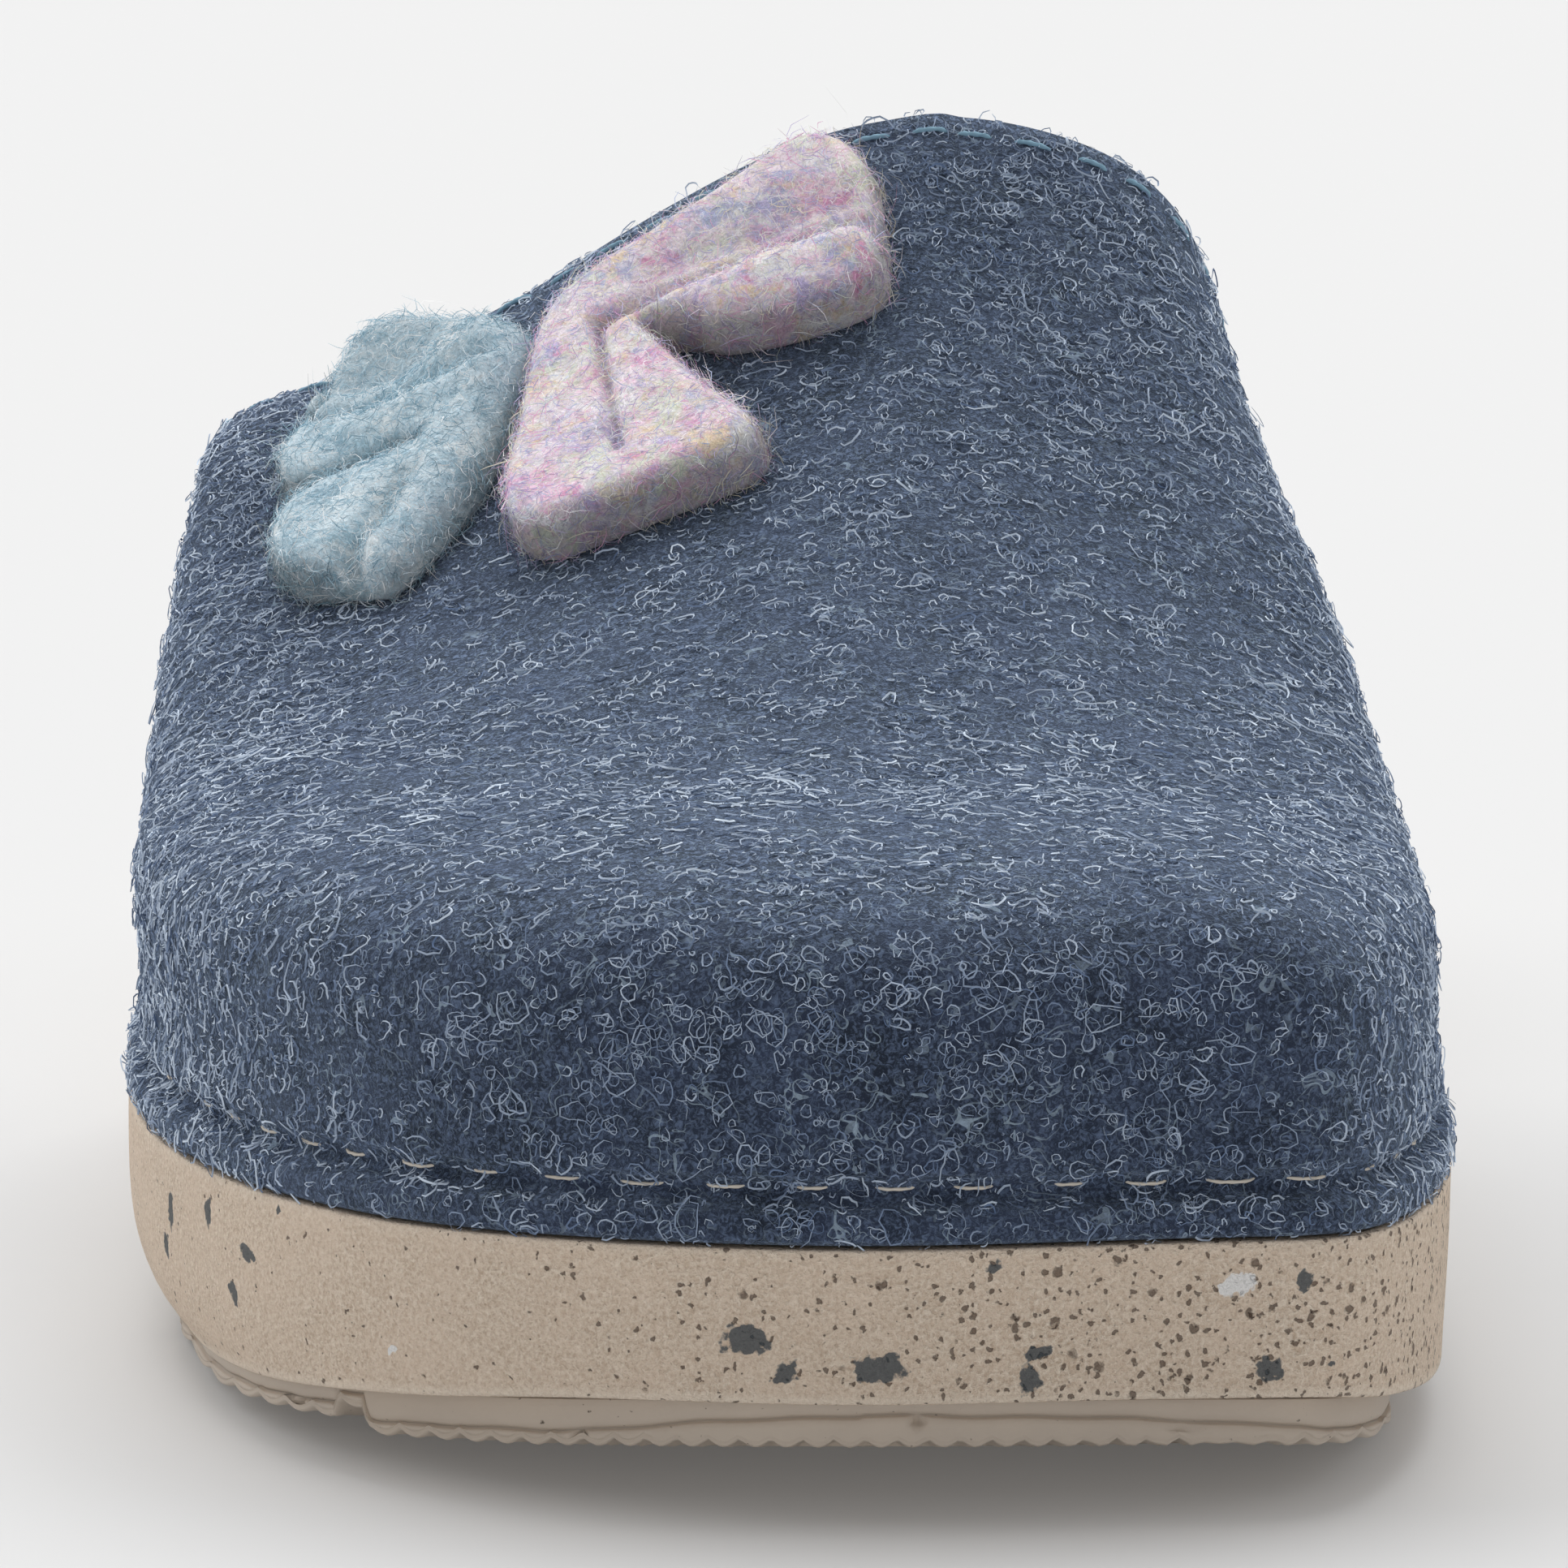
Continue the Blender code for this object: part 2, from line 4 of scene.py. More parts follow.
import bmesh
import bpy
import numpy as np
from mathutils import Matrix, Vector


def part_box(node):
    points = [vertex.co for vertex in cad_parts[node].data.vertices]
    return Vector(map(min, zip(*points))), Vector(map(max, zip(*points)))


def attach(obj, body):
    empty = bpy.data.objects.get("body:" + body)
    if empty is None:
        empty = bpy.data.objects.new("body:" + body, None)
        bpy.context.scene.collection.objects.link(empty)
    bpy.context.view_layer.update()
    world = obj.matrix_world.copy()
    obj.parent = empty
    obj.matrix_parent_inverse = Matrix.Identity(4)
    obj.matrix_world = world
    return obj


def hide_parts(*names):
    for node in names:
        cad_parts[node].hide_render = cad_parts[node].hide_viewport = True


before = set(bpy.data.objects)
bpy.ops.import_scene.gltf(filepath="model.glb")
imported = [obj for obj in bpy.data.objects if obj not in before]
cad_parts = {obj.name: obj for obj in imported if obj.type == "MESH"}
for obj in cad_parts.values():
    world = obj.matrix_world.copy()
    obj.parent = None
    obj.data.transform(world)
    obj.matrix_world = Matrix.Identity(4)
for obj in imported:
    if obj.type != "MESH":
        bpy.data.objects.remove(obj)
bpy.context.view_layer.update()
MM = 0.001

# Outsole: the moulded rubber tread, cemented under the foam slab and set in from its edge. Its side is a
# smooth band down to a trimmed line, with a paler lip below that ends in the scallops of the fine ribs.
# Points here and below are across, from_toe and height in millimetres, as a shoe is measured.
slab_low, slab_high = (np.array(corner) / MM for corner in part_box("midsole"))
BALL_WIDTH, SOLE_LENGTH = (slab_high - slab_low)[:2]
SEAT_GAP = 0.3
WELD_DISTANCE = 0.001
SOLE_STATIONS = 700
FRONT_LENGTH = 60.0
TREAD_HEIGHT = 3.3
TREAD_INSET = 3.6
TREAD_CORNER = (43.0, 13.0)
TREAD_CORNER_REACH = 8.0
TREAD_CORNER_OUT = 0.6
TREAD_INNER_START, TREAD_INNER_END = (22.0, 36.0), (110.0, 70.0)
TREAD_INNER_IN = 0.9
TREAD_OUTER_ACROSS, TREAD_OUTER_ALONG = (-26.0, -34.0), (48.0, 28.0)
TREAD_OUTER_OUT = 1.0
TREAD_CROSSINGS = (20, 2)
SLAB_RIM = 2.0
GROOVE_DEPTH = 1.8
GROOVE_WALL = 0.5
SHORT_LUG_ACROSS, SHORT_LUG_ALONG = (-28.7, -30.2), (62.0, 50.0)
SHORT_LUG_STEP = 1.0
RIB_PITCH = 2.1
RIB_DEPTH = 0.55
RIB_RINGS_IN = (4.5, 2.5)
LIP_LEAST, BAND_LEAST = 1.0, 0.5
LIP_WAVE, LIP_WAVE_LONG, LIP_WAVE_SHORT = 0.1, 4.1, 1.6
NICK_DEPTH, NICK_WIDTH = 1.0, 0.32
RUBBER, RUBBER_PALE, RUBBER_DIRT = "#bdb1a5", "#ccbfb0", "#5a4f46"

# The sole's outline and its heights. Along is per cent of the length, and the outline, drawn for a ball about
# as wide as this one, is scaled to its width.
EdgePoint = namedtuple("EdgePoint", "place across along")
SOLE_EDGE = (
    EdgePoint("toe tip", 6.5, 0.0),
    EdgePoint("big toe front", 30.0, 1.3),
    EdgePoint("big toe corner", 38.6, 2.8),
    EdgePoint("big toe side", 43.3, 7.2),
    EdgePoint("inner ball", 46.6, 25.0),
    EdgePoint("inner instep", 44.6, 41.0),
    EdgePoint("inner waist", 38.4, 56.6),
    EdgePoint("inner heel", 35.0, 74.2),
    EdgePoint("inner heel corner", 25.8, 92.6),
    EdgePoint("heel back", -1.0, 100.0),
    EdgePoint("outer heel corner", -28.3, 92.6),
    EdgePoint("outer heel", -39.0, 76.2),
    EdgePoint("outer waist", -46.8, 58.6),
    EdgePoint("outer ball", -49.6, 38.0),
    EdgePoint("little toe side", -46.6, 18.8),
    EdgePoint("little toe corner", -36.8, 8.8),
    EdgePoint("little toe front", -15.5, 1.6),
)
ProfileRow = namedtuple("ProfileRow", "along tread foam_top")
SOLE_PROFILE = (
    ProfileRow(0, 5.0, 18.8),
    ProfileRow(4, 3.4, 18.5),
    ProfileRow(10, 1.4, 18.3),
    ProfileRow(17, 0.2, 18.2),
    ProfileRow(21, 0.0, 18.2),
    ProfileRow(46, 0.0, 19.0),
    ProfileRow(54, 1.8, 20.4),
    ProfileRow(62, 1.8, 22.8),
    ProfileRow(69, 0.0, 24.8),
    ProfileRow(80, 0.0, 26.2),
    ProfileRow(96, 0.0, 26.6),
    ProfileRow(100, 0.8, 26.6),
)
Groove = namedtuple("Groove", "name start end width")
GROOVES = (
    Groove("outer toe", (-28.2, -4.0), (-31.0, 112.0), 2.6),
    Groove("toe bend", (-60.0, 60.0), (60.0, 54.0), 2.6),
    Groove("ball bend", (-60.0, 92.0), (60.0, 82.0), 2.6),
    Groove("waist", (0.0, 122.0), (0.0, 170.0), 120.0),
    Groove("heel middle", (-1.0, 160.0), (-1.0, 262.0), 2.6),
    Groove("heel cross", (-60.0, 208.0), (60.0, 208.0), 2.6),
)
LipRow = namedtuple("LipRow", "across height")
LIP_LINE = (
    LipRow(-45.0, 0.9),
    LipRow(-26.0, 0.8),
    LipRow(-17.5, 0.9),
    LipRow(-2.5, 1.8),
    LipRow(8.0, 2.2),
    LipRow(35.0, 1.4),
    LipRow(39.0, 0.8),
    LipRow(45.0, 0.9),
)
LIP_NICKS = (-33.5, -32.6, -12.8, 9.8, 27.6)
# The tread's side from the ribs up: each row's height over the ribs, the lip or the top, how far it is set
# in, and how much of a nick's depth it takes.
TreadRow = namedtuple("TreadRow", "level up inward nicked")
TREAD_SIDE = (
    TreadRow("ribs", 0.0, 1.0, 0.0),
    TreadRow("ribs", 0.02, 0.3, 0.0),
    TreadRow("ribs", 0.14, 0.02, 0.0),
    TreadRow("ribs", 0.3, -0.06, 0.0),
    TreadRow("ribs", 0.42, 0.03, 0.0),
    TreadRow("ribs", 0.55, -0.02, 0.0),
    TreadRow("lip", -0.75, -0.03, 0.0),
    TreadRow("lip", -0.6, -0.04, 1.0),
    TreadRow("lip", -0.16, -0.05, 1.0),
    TreadRow("lip", -0.04, 0.1, 0.6),
    TreadRow("lip", 0.0, 0.6, 0.0),
    TreadRow("lip", 0.1, 0.35, 0.0),
    TreadRow("lip", 0.3, 0.15, 0.0),
    TreadRow("lip", 0.7, 0.05, 0.0),
    TreadRow("top", -0.1, 0.0, 0.0),
    TreadRow("top", 0.0, 0.05, 0.0),
)


def cubic(t, span, start, end, slope, end_slope):
    """Cubic over a span from one value and slope to the next, at shares t of the span."""
    curve = start * (1 + 2 * t) * (1 - t) ** 2 + slope * span * t * (1 - t) ** 2
    return curve + end * t * t * (3 - 2 * t) + end_slope * span * t * t * (t - 1)


def smooth_table(at, places, values):
    """Monotone cubic through a table: harmonic-mean slopes at the rows, so it never overshoots them."""
    places, values = np.asarray(places, float), np.asarray(values, float)
    steps = np.diff(places)
    rises = np.diff(values) / steps
    same_way = rises[:-1] * rises[1:] > 0
    mean = 2 * rises[:-1] * rises[1:] / np.where(same_way, rises[:-1] + rises[1:], 1.0)
    slopes = np.concatenate([[0.0], np.where(same_way, mean, 0.0), rises[-1:]])
    at = np.clip(np.asarray(at, float), places[0], places[-1])
    row = np.clip(np.searchsorted(places, at, side="right") - 1, 0, len(steps) - 1)
    t = (at - places[row]) / steps[row]
    return cubic(t, steps[row], values[row], values[row + 1], slopes[row], slopes[row + 1])


def by_column(at, rows, place, value):
    """A table's column as a smooth function of another of its columns."""
    return smooth_table(at, [getattr(row, place) for row in rows], [getattr(row, value) for row in rows])


def sole_height(from_toe, name):
    """Height of the tread or of the foam's top at stations from the toe."""
    return by_column(np.asarray(from_toe) * 100 / SOLE_LENGTH, SOLE_PROFILE, "along", name)


def fade(at, start, end):
    """Smooth step with level ends: 0 up to the start, 1 from the end on."""
    share = np.clip((at - start) / (end - start), 0, 1)
    return share * share * (3 - 2 * share)


def unit(vectors):
    """Vectors divided by their lengths."""
    return vectors / np.maximum(np.linalg.norm(vectors, axis=-1, keepdims=True), 1e-9)


def run_along(path):
    """Length along a path from its first point."""
    return np.append(0.0, np.cumsum(np.linalg.norm(np.diff(path, axis=0), axis=1)))


def sole_edge(count=2400):
    """Periodic cubic through the edge table, by chord length, scaled to width and length, from the tip."""
    points = np.array([(row.across, row.along) for row in SOLE_EDGE])
    total = len(points)
    after = (np.arange(total) + 1) % total
    chords = np.linalg.norm(points[after] - points, axis=1)
    before = np.roll(chords, 1)
    system = np.diag(2 * (before + chords))
    system[np.arange(total), np.arange(total) - 1] = chords
    system[np.arange(total), after] = before
    ahead = (points[after] - points) / chords[:, None]
    pull = 3 * (chords[:, None] * np.roll(ahead, 1, axis=0) + before[:, None] * ahead)
    slopes = np.linalg.solve(system, pull)
    ends = np.concatenate([[0.0], np.cumsum(chords)])
    at = np.linspace(0, ends[-1], count, endpoint=False)
    row = np.searchsorted(ends, at, side="right") - 1
    span = chords[row][:, None]
    t = (at - ends[row])[:, None] / span
    curve = cubic(t, span, points[row], points[after[row]], slopes[row], slopes[after[row]])
    curve = (curve - curve.min(axis=0)) / np.ptp(curve, axis=0) * (BALL_WIDTH, SOLE_LENGTH)
    return np.roll(curve - (BALL_WIDTH / 2, 0), -np.argmin(curve[:, 1]), axis=0)


def inset(curve, distance):
    """A closed plan curve moved inwards along its own normals."""
    along = unit(np.roll(curve, -1, axis=0) - np.roll(curve, 1, axis=0))
    inward = np.stack([-along[:, 1], along[:, 0]], axis=1)
    return curve + inward * np.broadcast_to(distance, len(curve))[:, None]


def edge_sides(curve):
    """The big-toe and little-toe sides of an outline, each from toe to heel."""
    heel = np.argmax(curve[:, 1])
    return curve[:heel + 1], np.concatenate([curve[heel:], curve[:1]])[::-1]


EDGE = sole_edge()


def sole_ring(stations, distance=0.0):
    """The outline at matching stations on both sides, closer at toe and heel by a cosine, then moved in."""
    from_toe = SOLE_LENGTH * (1 - np.cos(np.linspace(0, math.pi, stations + 1))) / 2
    inner, outer = (np.interp(from_toe, side[:, 1], side[:, 0]) for side in edge_sides(EDGE))
    ring = np.stack([np.append(inner, outer[-2:0:-1]), np.append(from_toe, from_toe[-2:0:-1])], axis=1)
    return inset(ring, distance)


def ring_stack(rows):
    """Rings of the sole's edge, one for each row of how far it is set in and how high its points lie."""
    return np.stack([np.column_stack([sole_ring(SOLE_STATIONS, step), height]) for step, height in rows])


def grid_faces(number):
    """Quads between neighbouring numbers of a grid."""
    corners = [number[:-1, :-1], number[1:, :-1], number[1:, 1:], number[:-1, 1:]]
    return np.stack(corners, axis=-1).reshape(-1, 4)


def join_sheets(sheets):
    """Points and faces of several grids of points in one mesh."""
    points, faces, first = [], [], 0
    for sheet in sheets:
        number = np.arange(sheet[..., 0].size).reshape(sheet.shape[:2])
        points.append(sheet.reshape(-1, 3))
        faces.append(grid_faces(first + number))
        first += number.size
    return np.concatenate(points), np.concatenate(faces)


def slab_mesh(rings, crossings, end_heights, rim_width):
    """A solid through rings of matching stations. Each end is closed by straight rows across from side to
    side, whose heights ease over the rim width from the ring's own to the given function of the plan."""
    levels, total = rings.shape[:2]
    number = np.arange(levels * total).reshape(levels, total)
    ends = []
    for ring, count, height in zip((rings[0], rings[-1]), crossings, end_heights):
        share = np.linspace(0, 1, count + 1)[:, None]
        inner = ring[:total // 2 + 1]
        outer = np.concatenate([ring[:1], ring[:total // 2 - 1:-1]])
        sheet = inner[:, None] * (1 - share) + outer[:, None] * share
        width = np.linalg.norm(inner - outer, axis=1)[:, None]
        depth = width * np.minimum(share, 1 - share)[:, 0]
        sheet[..., 2] += (height(sheet[..., :2]) - sheet[..., 2]) * fade(depth, 0, rim_width)
        ends.append(sheet)
    side_faces = grid_faces(np.column_stack([number, number[:, 0]]))
    end_points, end_faces = join_sheets(ends)
    return (np.concatenate([rings.reshape(-1, 3), end_points]),
            np.concatenate([side_faces, end_faces + number.size]))


def add_piece(name, points, faces, solid=True, **attributes):
    """A smooth object from points in millimetres. A solid has its doubles merged and faces turned out."""
    mesh = bpy.data.meshes.new(name)
    mesh.vertices.add(len(points))
    mesh.vertices.foreach_set("co", ((points - (0, SOLE_LENGTH / 2, 0)) * MM).astype(np.float32).ravel())
    mesh.loops.add(faces.size)
    mesh.loops.foreach_set("vertex_index", faces.astype(np.int32).ravel())
    mesh.polygons.add(len(faces))
    mesh.polygons.foreach_set("loop_start", np.arange(0, faces.size, faces.shape[1], dtype=np.int32))
    mesh.update(calc_edges=True)
    for label, values in attributes.items():
        colour = np.ndim(values) == 2
        layer = mesh.attributes.new(label, "FLOAT_COLOR" if colour else "FLOAT", "POINT")
        layer.data.foreach_set("color" if colour else "value", np.asarray(values, np.float32).ravel())
    if solid:
        work = bmesh.new()
        work.from_mesh(mesh)
        bmesh.ops.remove_doubles(work, verts=work.verts, dist=WELD_DISTANCE * MM)
        bmesh.ops.recalc_face_normals(work, faces=work.faces)
        work.to_mesh(mesh)
        work.free()
    mesh.shade_smooth()
    piece = bpy.data.objects.new(name, mesh)
    bpy.context.scene.collection.objects.link(piece)
    return piece


def linear(hex_colour):
    """An sRGB hex value as a linear colour with alpha."""
    values = np.array([int(hex_colour[k:k + 2], 16) for k in (1, 3, 5)]) / 255
    values = np.where(values <= 0.04045, values / 12.92, ((values + 0.055) / 1.055) ** 2.4)
    return (*values.tolist(), 1.0)


def feed(node, inputs):
    """Sets a node's inputs, each to a value or from the socket that feeds it."""
    for socket, value in inputs.items():
        if isinstance(value, bpy.types.NodeSocket):
            node.id_data.links.new(value, node.inputs[socket])
        else:
            node.inputs[socket].default_value = value


def add_node(tree, kind, inputs, output=0, **settings):
    """A shader node with its settings and inputs, as the one of its outputs that is wanted."""
    node = tree.nodes.new("ShaderNode" + kind)
    for name, value in settings.items():
        setattr(node, name, value)
    feed(node, inputs)
    return node.outputs[output]


def new_material(name):
    """A material with its node tree and its shader."""
    material = bpy.data.materials.new(name)
    material.use_nodes = True
    return material, material.node_tree, material.node_tree.nodes["Principled BSDF"]


def layer_colours(tree, colour, layers):
    """A colour with others laid over it in turn, each by its own share. A mix's share, its two colours and
    its result go by number, because it has sockets of the same names for other kinds of value."""
    for share, above in layers:
        colour = add_node(tree, "Mix", {0: share, 6: colour, 7: linear(above)}, 2, data_type="RGBA")
    return colour


def tread_top(plan):
    """Top of the tread, which lies under the foam."""
    return sole_height(plan[..., 1], "tread") + TREAD_HEIGHT


def tread_under(plan):
    """Underside of the tread: its profile, lifted in the grooves and under the shorter outer toe lug."""
    lift = SHORT_LUG_STEP * fade(plan[..., 0], *SHORT_LUG_ACROSS) * fade(plan[..., 1], *SHORT_LUG_ALONG)
    for groove in GROOVES:
        start, end = np.array(groove.start), np.array(groove.end)
        length = np.linalg.norm(end - start)
        ahead = (end - start) / length
        along = (plan - start) @ ahead
        aside = np.abs((plan - start) @ np.array([ahead[1], -ahead[0]]))
        inside = np.minimum(groove.width / 2 - aside, np.minimum(along, length - along))
        lift = np.maximum(lift, GROOVE_DEPTH * fade(inside, 0, GROOVE_WALL))
    return sole_height(plan[..., 1], "tread") + lift


rim = sole_ring(SOLE_STATIONS)
corner = np.exp(-(np.linalg.norm(rim - TREAD_CORNER, axis=1) / TREAD_CORNER_REACH) ** 2)
inner_side = (rim[:, 0] > 0) * fade(rim[:, 1], *TREAD_INNER_START) * fade(rim[:, 1], *TREAD_INNER_END)
outer_toe = fade(rim[:, 0], *TREAD_OUTER_ACROSS) * fade(rim[:, 1], *TREAD_OUTER_ALONG)
tread_inset = TREAD_INSET - TREAD_CORNER_OUT * corner + TREAD_INNER_IN * inner_side
tread_inset -= TREAD_OUTER_OUT * outer_toe
rim = sole_ring(SOLE_STATIONS, tread_inset)
run = run_along(rim)
rim_under = tread_under(rim)
top = tread_top(rim)
scallop = RIB_DEPTH * (1 - np.abs(np.sin(math.pi * rim[:, 0] / RIB_PITCH)))
lip = by_column(rim[:, 0], LIP_LINE, "across", "height") + sole_height(rim[:, 1], "tread")
lip = np.maximum(lip, rim_under + LIP_LEAST)
lip += LIP_WAVE * np.sin(run / LIP_WAVE_SHORT) * np.sin(run / LIP_WAVE_LONG)
levels = {"ribs": rim_under + scallop, "lip": np.minimum(lip, top - BAND_LEAST), "top": top}
nick = sum(NICK_DEPTH * np.exp(-((rim[:, 0] - place) / NICK_WIDTH) ** 2) for place in LIP_NICKS)
nick *= rim[:, 1] < FRONT_LENGTH
rows = [(tread_inset + step, tread_under(sole_ring(SOLE_STATIONS, tread_inset + step)) + scallop)
        for step in RIB_RINGS_IN]
heights = np.maximum.accumulate([levels[row.level] + row.up for row in TREAD_SIDE], axis=0)
rows += [(tread_inset + row.inward + row.nicked * nick, height) for row, height in zip(TREAD_SIDE, heights)]
outsole = add_piece("outsole_rubber", *slab_mesh(ring_stack(rows), TREAD_CROSSINGS, (tread_under, tread_top),
                                                 SLAB_RIM))

# Moulded rubber: matt, slightly blotchy where the mould released it, with grime in fine pits.
rubber, tree, shader = new_material("moulded_rubber")
place = add_node(tree, "TexCoord", {}, "Object")
blotch = add_node(tree, "TexNoise", {"Vector": place, "Scale": 1 / (7 * MM), "Detail": 3.0})
grit = add_node(tree, "TexNoise", {"Vector": place, "Scale": 1 / (0.5 * MM), "Detail": 2.0})
pits = add_node(tree, "MapRange", {"Value": grit, "From Min": 0.72, "From Max": 0.8})
colour = layer_colours(tree, linear(RUBBER), ((blotch, RUBBER_PALE), (pits, RUBBER_DIRT)))
relief = add_node(tree, "Bump", {"Height": grit, "Distance": 0.08 * MM, "Strength": 0.5})
feed(shader, {"Base Color": colour, "Normal": relief, "Roughness": 0.62, "Specular IOR Level": 0.35})
outsole.data.materials.append(rubber)
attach(outsole, "root")
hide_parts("outsole")

# Midsole: a slab of beige foam pressed from ground scrap, so dark and white chips and open pores show
# where its side was sanded. It is glued under the felt and stands out over the tread.
FOAM_DRAFT, FOAM_DRAFT_POWER = 0.5, 1.5
FOAM_CHAMFER, FOAM_CHAMFER_POWER = 2.3, 6
FOAM_CHAMFER_START, FOAM_CHAMFER_END = (12.0, 48.0), (120.0, 70.0)
FOAM_FOOT_ROUND, FOAM_FOOT_ROWS = 0.35, 5
FOAM_TOP_ROUND = 0.25
FOAM_SIDE_ROWS = 21
FOAM_CROSSINGS = (4, 4)
FOAM, FOAM_PALE, FOAM_DARK, FOAM_PORE_SHADE = "#f3ddc8", "#fff1df", "#cab199", "#5b493e"
CHIP_DARK, CHIP_WHITE = "#4b575f", "#ffffff"
SideRow = namedtuple("SideRow", "inward up")
FOAM_TOP_EDGE = (SideRow(0.03, -0.15), SideRow(0.15, -0.03), SideRow(0.3, 0.0))
Wave = namedtuple("Wave", "depth length shift")
FOAM_WAVES = (Wave(0.10, 7.0, 0.0), Wave(0.08, 3.1, 1.0))
Chip = namedtuple("Chip", "across share width height turn")
CHIPS_DARK = (
    Chip(-1.6, 0.42, 3.6, 2.3, -20),
    Chip(1.0, 0.21, 2.1, 1.5, 25),
    Chip(7.3, 0.24, 3.6, 2.4, 0),
    Chip(17.0, 0.15, 1.8, 1.9, 0),
    Chip(17.7, 0.33, 2.2, 1.1, 0),
    Chip(14.8, 0.9, 1.2, 0.9, 0),
    Chip(33.0, 0.20, 1.7, 1.9, 20),
    Chip(33.4, 0.36, 0.7, 1.0, 8),
    Chip(35.4, 0.76, 1.2, 1.9, -25),
    Chip(37.4, 0.20, 0.9, 0.7, 30),
    Chip(-36.0, 0.66, 2.8, 1.3, -15),
    Chip(-37.4, 0.44, 1.3, 1.2, 25),
    Chip(-37.2, 0.40, 1.0, 1.3, 25),
    Chip(-39.2, 0.80, 1.5, 2.4, -14),
    Chip(-42.6, 0.70, 1.5, 3.0, -14),
    Chip(-43.2, 0.50, 1.6, 2.2, -14),
    Chip(-33.6, 0.93, 0.7, 0.9, 0),
)
CHIPS_WHITE = (
    Chip(30.8, 0.74, 2.3, 1.7, 20),
    Chip(-25.6, 0.25, 0.9, 0.8, 0),
)
CHIP_SIDES = 7
SCATTERED_DARK, SCATTERED_WHITE = 90, 6
SCATTERED_FROM = 55.0
SCATTERED_LEAST, SCATTERED_SPREAD = 0.25, 0.9
RUBBED_TOP, RUBBED_FOOT = 0.5, 1.0
Pore = namedtuple("Pore", "spacing size rare common")
PORES = (Pore(0.6, 0.34, 0.74, 0.34), Pore(1.3, 0.26, 0.88, 0.48), Pore(2.6, 0.15, 0.93, 0.55))
PORES_RARE_AT, PORES_COMMON_AT = -15.0, 20.0


def foam_top(plan):
    """Top of the foam slab, on which the felt lies."""
    return sole_height(plan[..., 1], "foam_top")


rim = sole_ring(SOLE_STATIONS)
run = run_along(rim)
length = run[-1]
low, high = tread_top(rim), foam_top(rim)
ripple = sum(wave.depth * np.sin(run / wave.length + wave.shift) for wave in FOAM_WAVES)
outer_side = (rim[:, 0] < 0) * fade(rim[:, 1], *FOAM_CHAMFER_START) * fade(rim[:, 1], *FOAM_CHAMFER_END)
chamfer = FOAM_CHAMFER * outer_side
rows = [(FOAM_DRAFT + chamfer + FOAM_FOOT_ROUND * (1 - np.sin(a)), low + FOAM_FOOT_ROUND * (1 - np.cos(a)))
        for a in np.linspace(0, math.pi / 2, FOAM_FOOT_ROWS)]
rows += [(FOAM_DRAFT * (1 - s) ** FOAM_DRAFT_POWER + chamfer * (1 - s) ** FOAM_CHAMFER_POWER
          + ripple * math.sin(math.pi * s),
          low + FOAM_FOOT_ROUND + (high - low - FOAM_FOOT_ROUND - FOAM_TOP_ROUND) * s)
         for s in np.linspace(0, 1, FOAM_SIDE_ROWS)[1:-1]]
rows += [(row.inward, high + row.up) for row in FOAM_TOP_EDGE]
rings = ring_stack(rows)
side_share = (rings[..., 2] - low) / (high - low)
seed = np.random.default_rng(11)


def from_middle(along, share):
    """How far the side's points lie beside and above a place, given by its length along and its share up."""
    return (run - along + length / 2) % length - length / 2, (side_share - share) * (high - low)


def chip_field(chips):
    """How deep each point of the side lies in a chip: 1 at a chip's middle, 0 at its rim and less beyond.
    A chip is a turned polygon of uneven sides in the length along the edge and the height."""
    front = np.where(rim[:, 1] < FRONT_LENGTH)[0]
    front = front[np.argsort(rim[front, 0])]
    field = np.full(side_share.shape, -1.0)
    for chip in chips:
        along = np.interp(chip.across, rim[front, 0], np.unwrap(run[front], period=length))
        aside, above = from_middle(along, chip.share)
        a = math.radians(chip.turn)
        x = (aside * math.cos(a) + above * math.sin(a)) / (chip.width / 2)
        y = (above * math.cos(a) - aside * math.sin(a)) / (chip.height / 2)
        sides = (np.arange(CHIP_SIDES) + seed.uniform(-0.3, 0.3, CHIP_SIDES)) * 2 * math.pi / CHIP_SIDES
        reach = seed.uniform(0.7, 1.15, CHIP_SIDES)
        out = (x[..., None] * np.cos(sides) + y[..., None] * np.sin(sides)) / reach
        field = np.maximum(field, 1 - out.max(axis=-1))
    return field


def scattered_field(count):
    """The same field for small round chips, strewn by a seeded draw over the side behind the toe."""
    field = np.full(side_share.shape, -1.0)
    for along, share, size in zip(seed.uniform(0, length, count), seed.uniform(0.05, 0.95, count),
                                  seed.uniform(0.3, 1.0, count) ** 2):
        away = np.hypot(*from_middle(along, share))
        field = np.maximum(field, 1 - away / (SCATTERED_LEAST + SCATTERED_SPREAD * size))
    return np.where(rim[:, 1] > SCATTERED_FROM, field, -1.0)


dark = np.maximum(chip_field(CHIPS_DARK), scattered_field(SCATTERED_DARK))
white = np.maximum(chip_field(CHIPS_WHITE), scattered_field(SCATTERED_WHITE))
points, faces = slab_mesh(rings, FOAM_CROSSINGS, (tread_top, foam_top), SLAB_RIM)
spare = np.full(len(points) - dark.size, -1.0)
rubbed = np.zeros(dark.shape)
rubbed[-len(FOAM_TOP_EDGE):] = RUBBED_TOP
rubbed[FOAM_FOOT_ROWS // 2:FOAM_FOOT_ROWS] = RUBBED_FOOT
midsole = add_piece("midsole_foam", points, faces, dark_chip=np.append(dark, spare),
                    white_chip=np.append(white, spare), rubbed=np.append(rubbed, spare * 0))

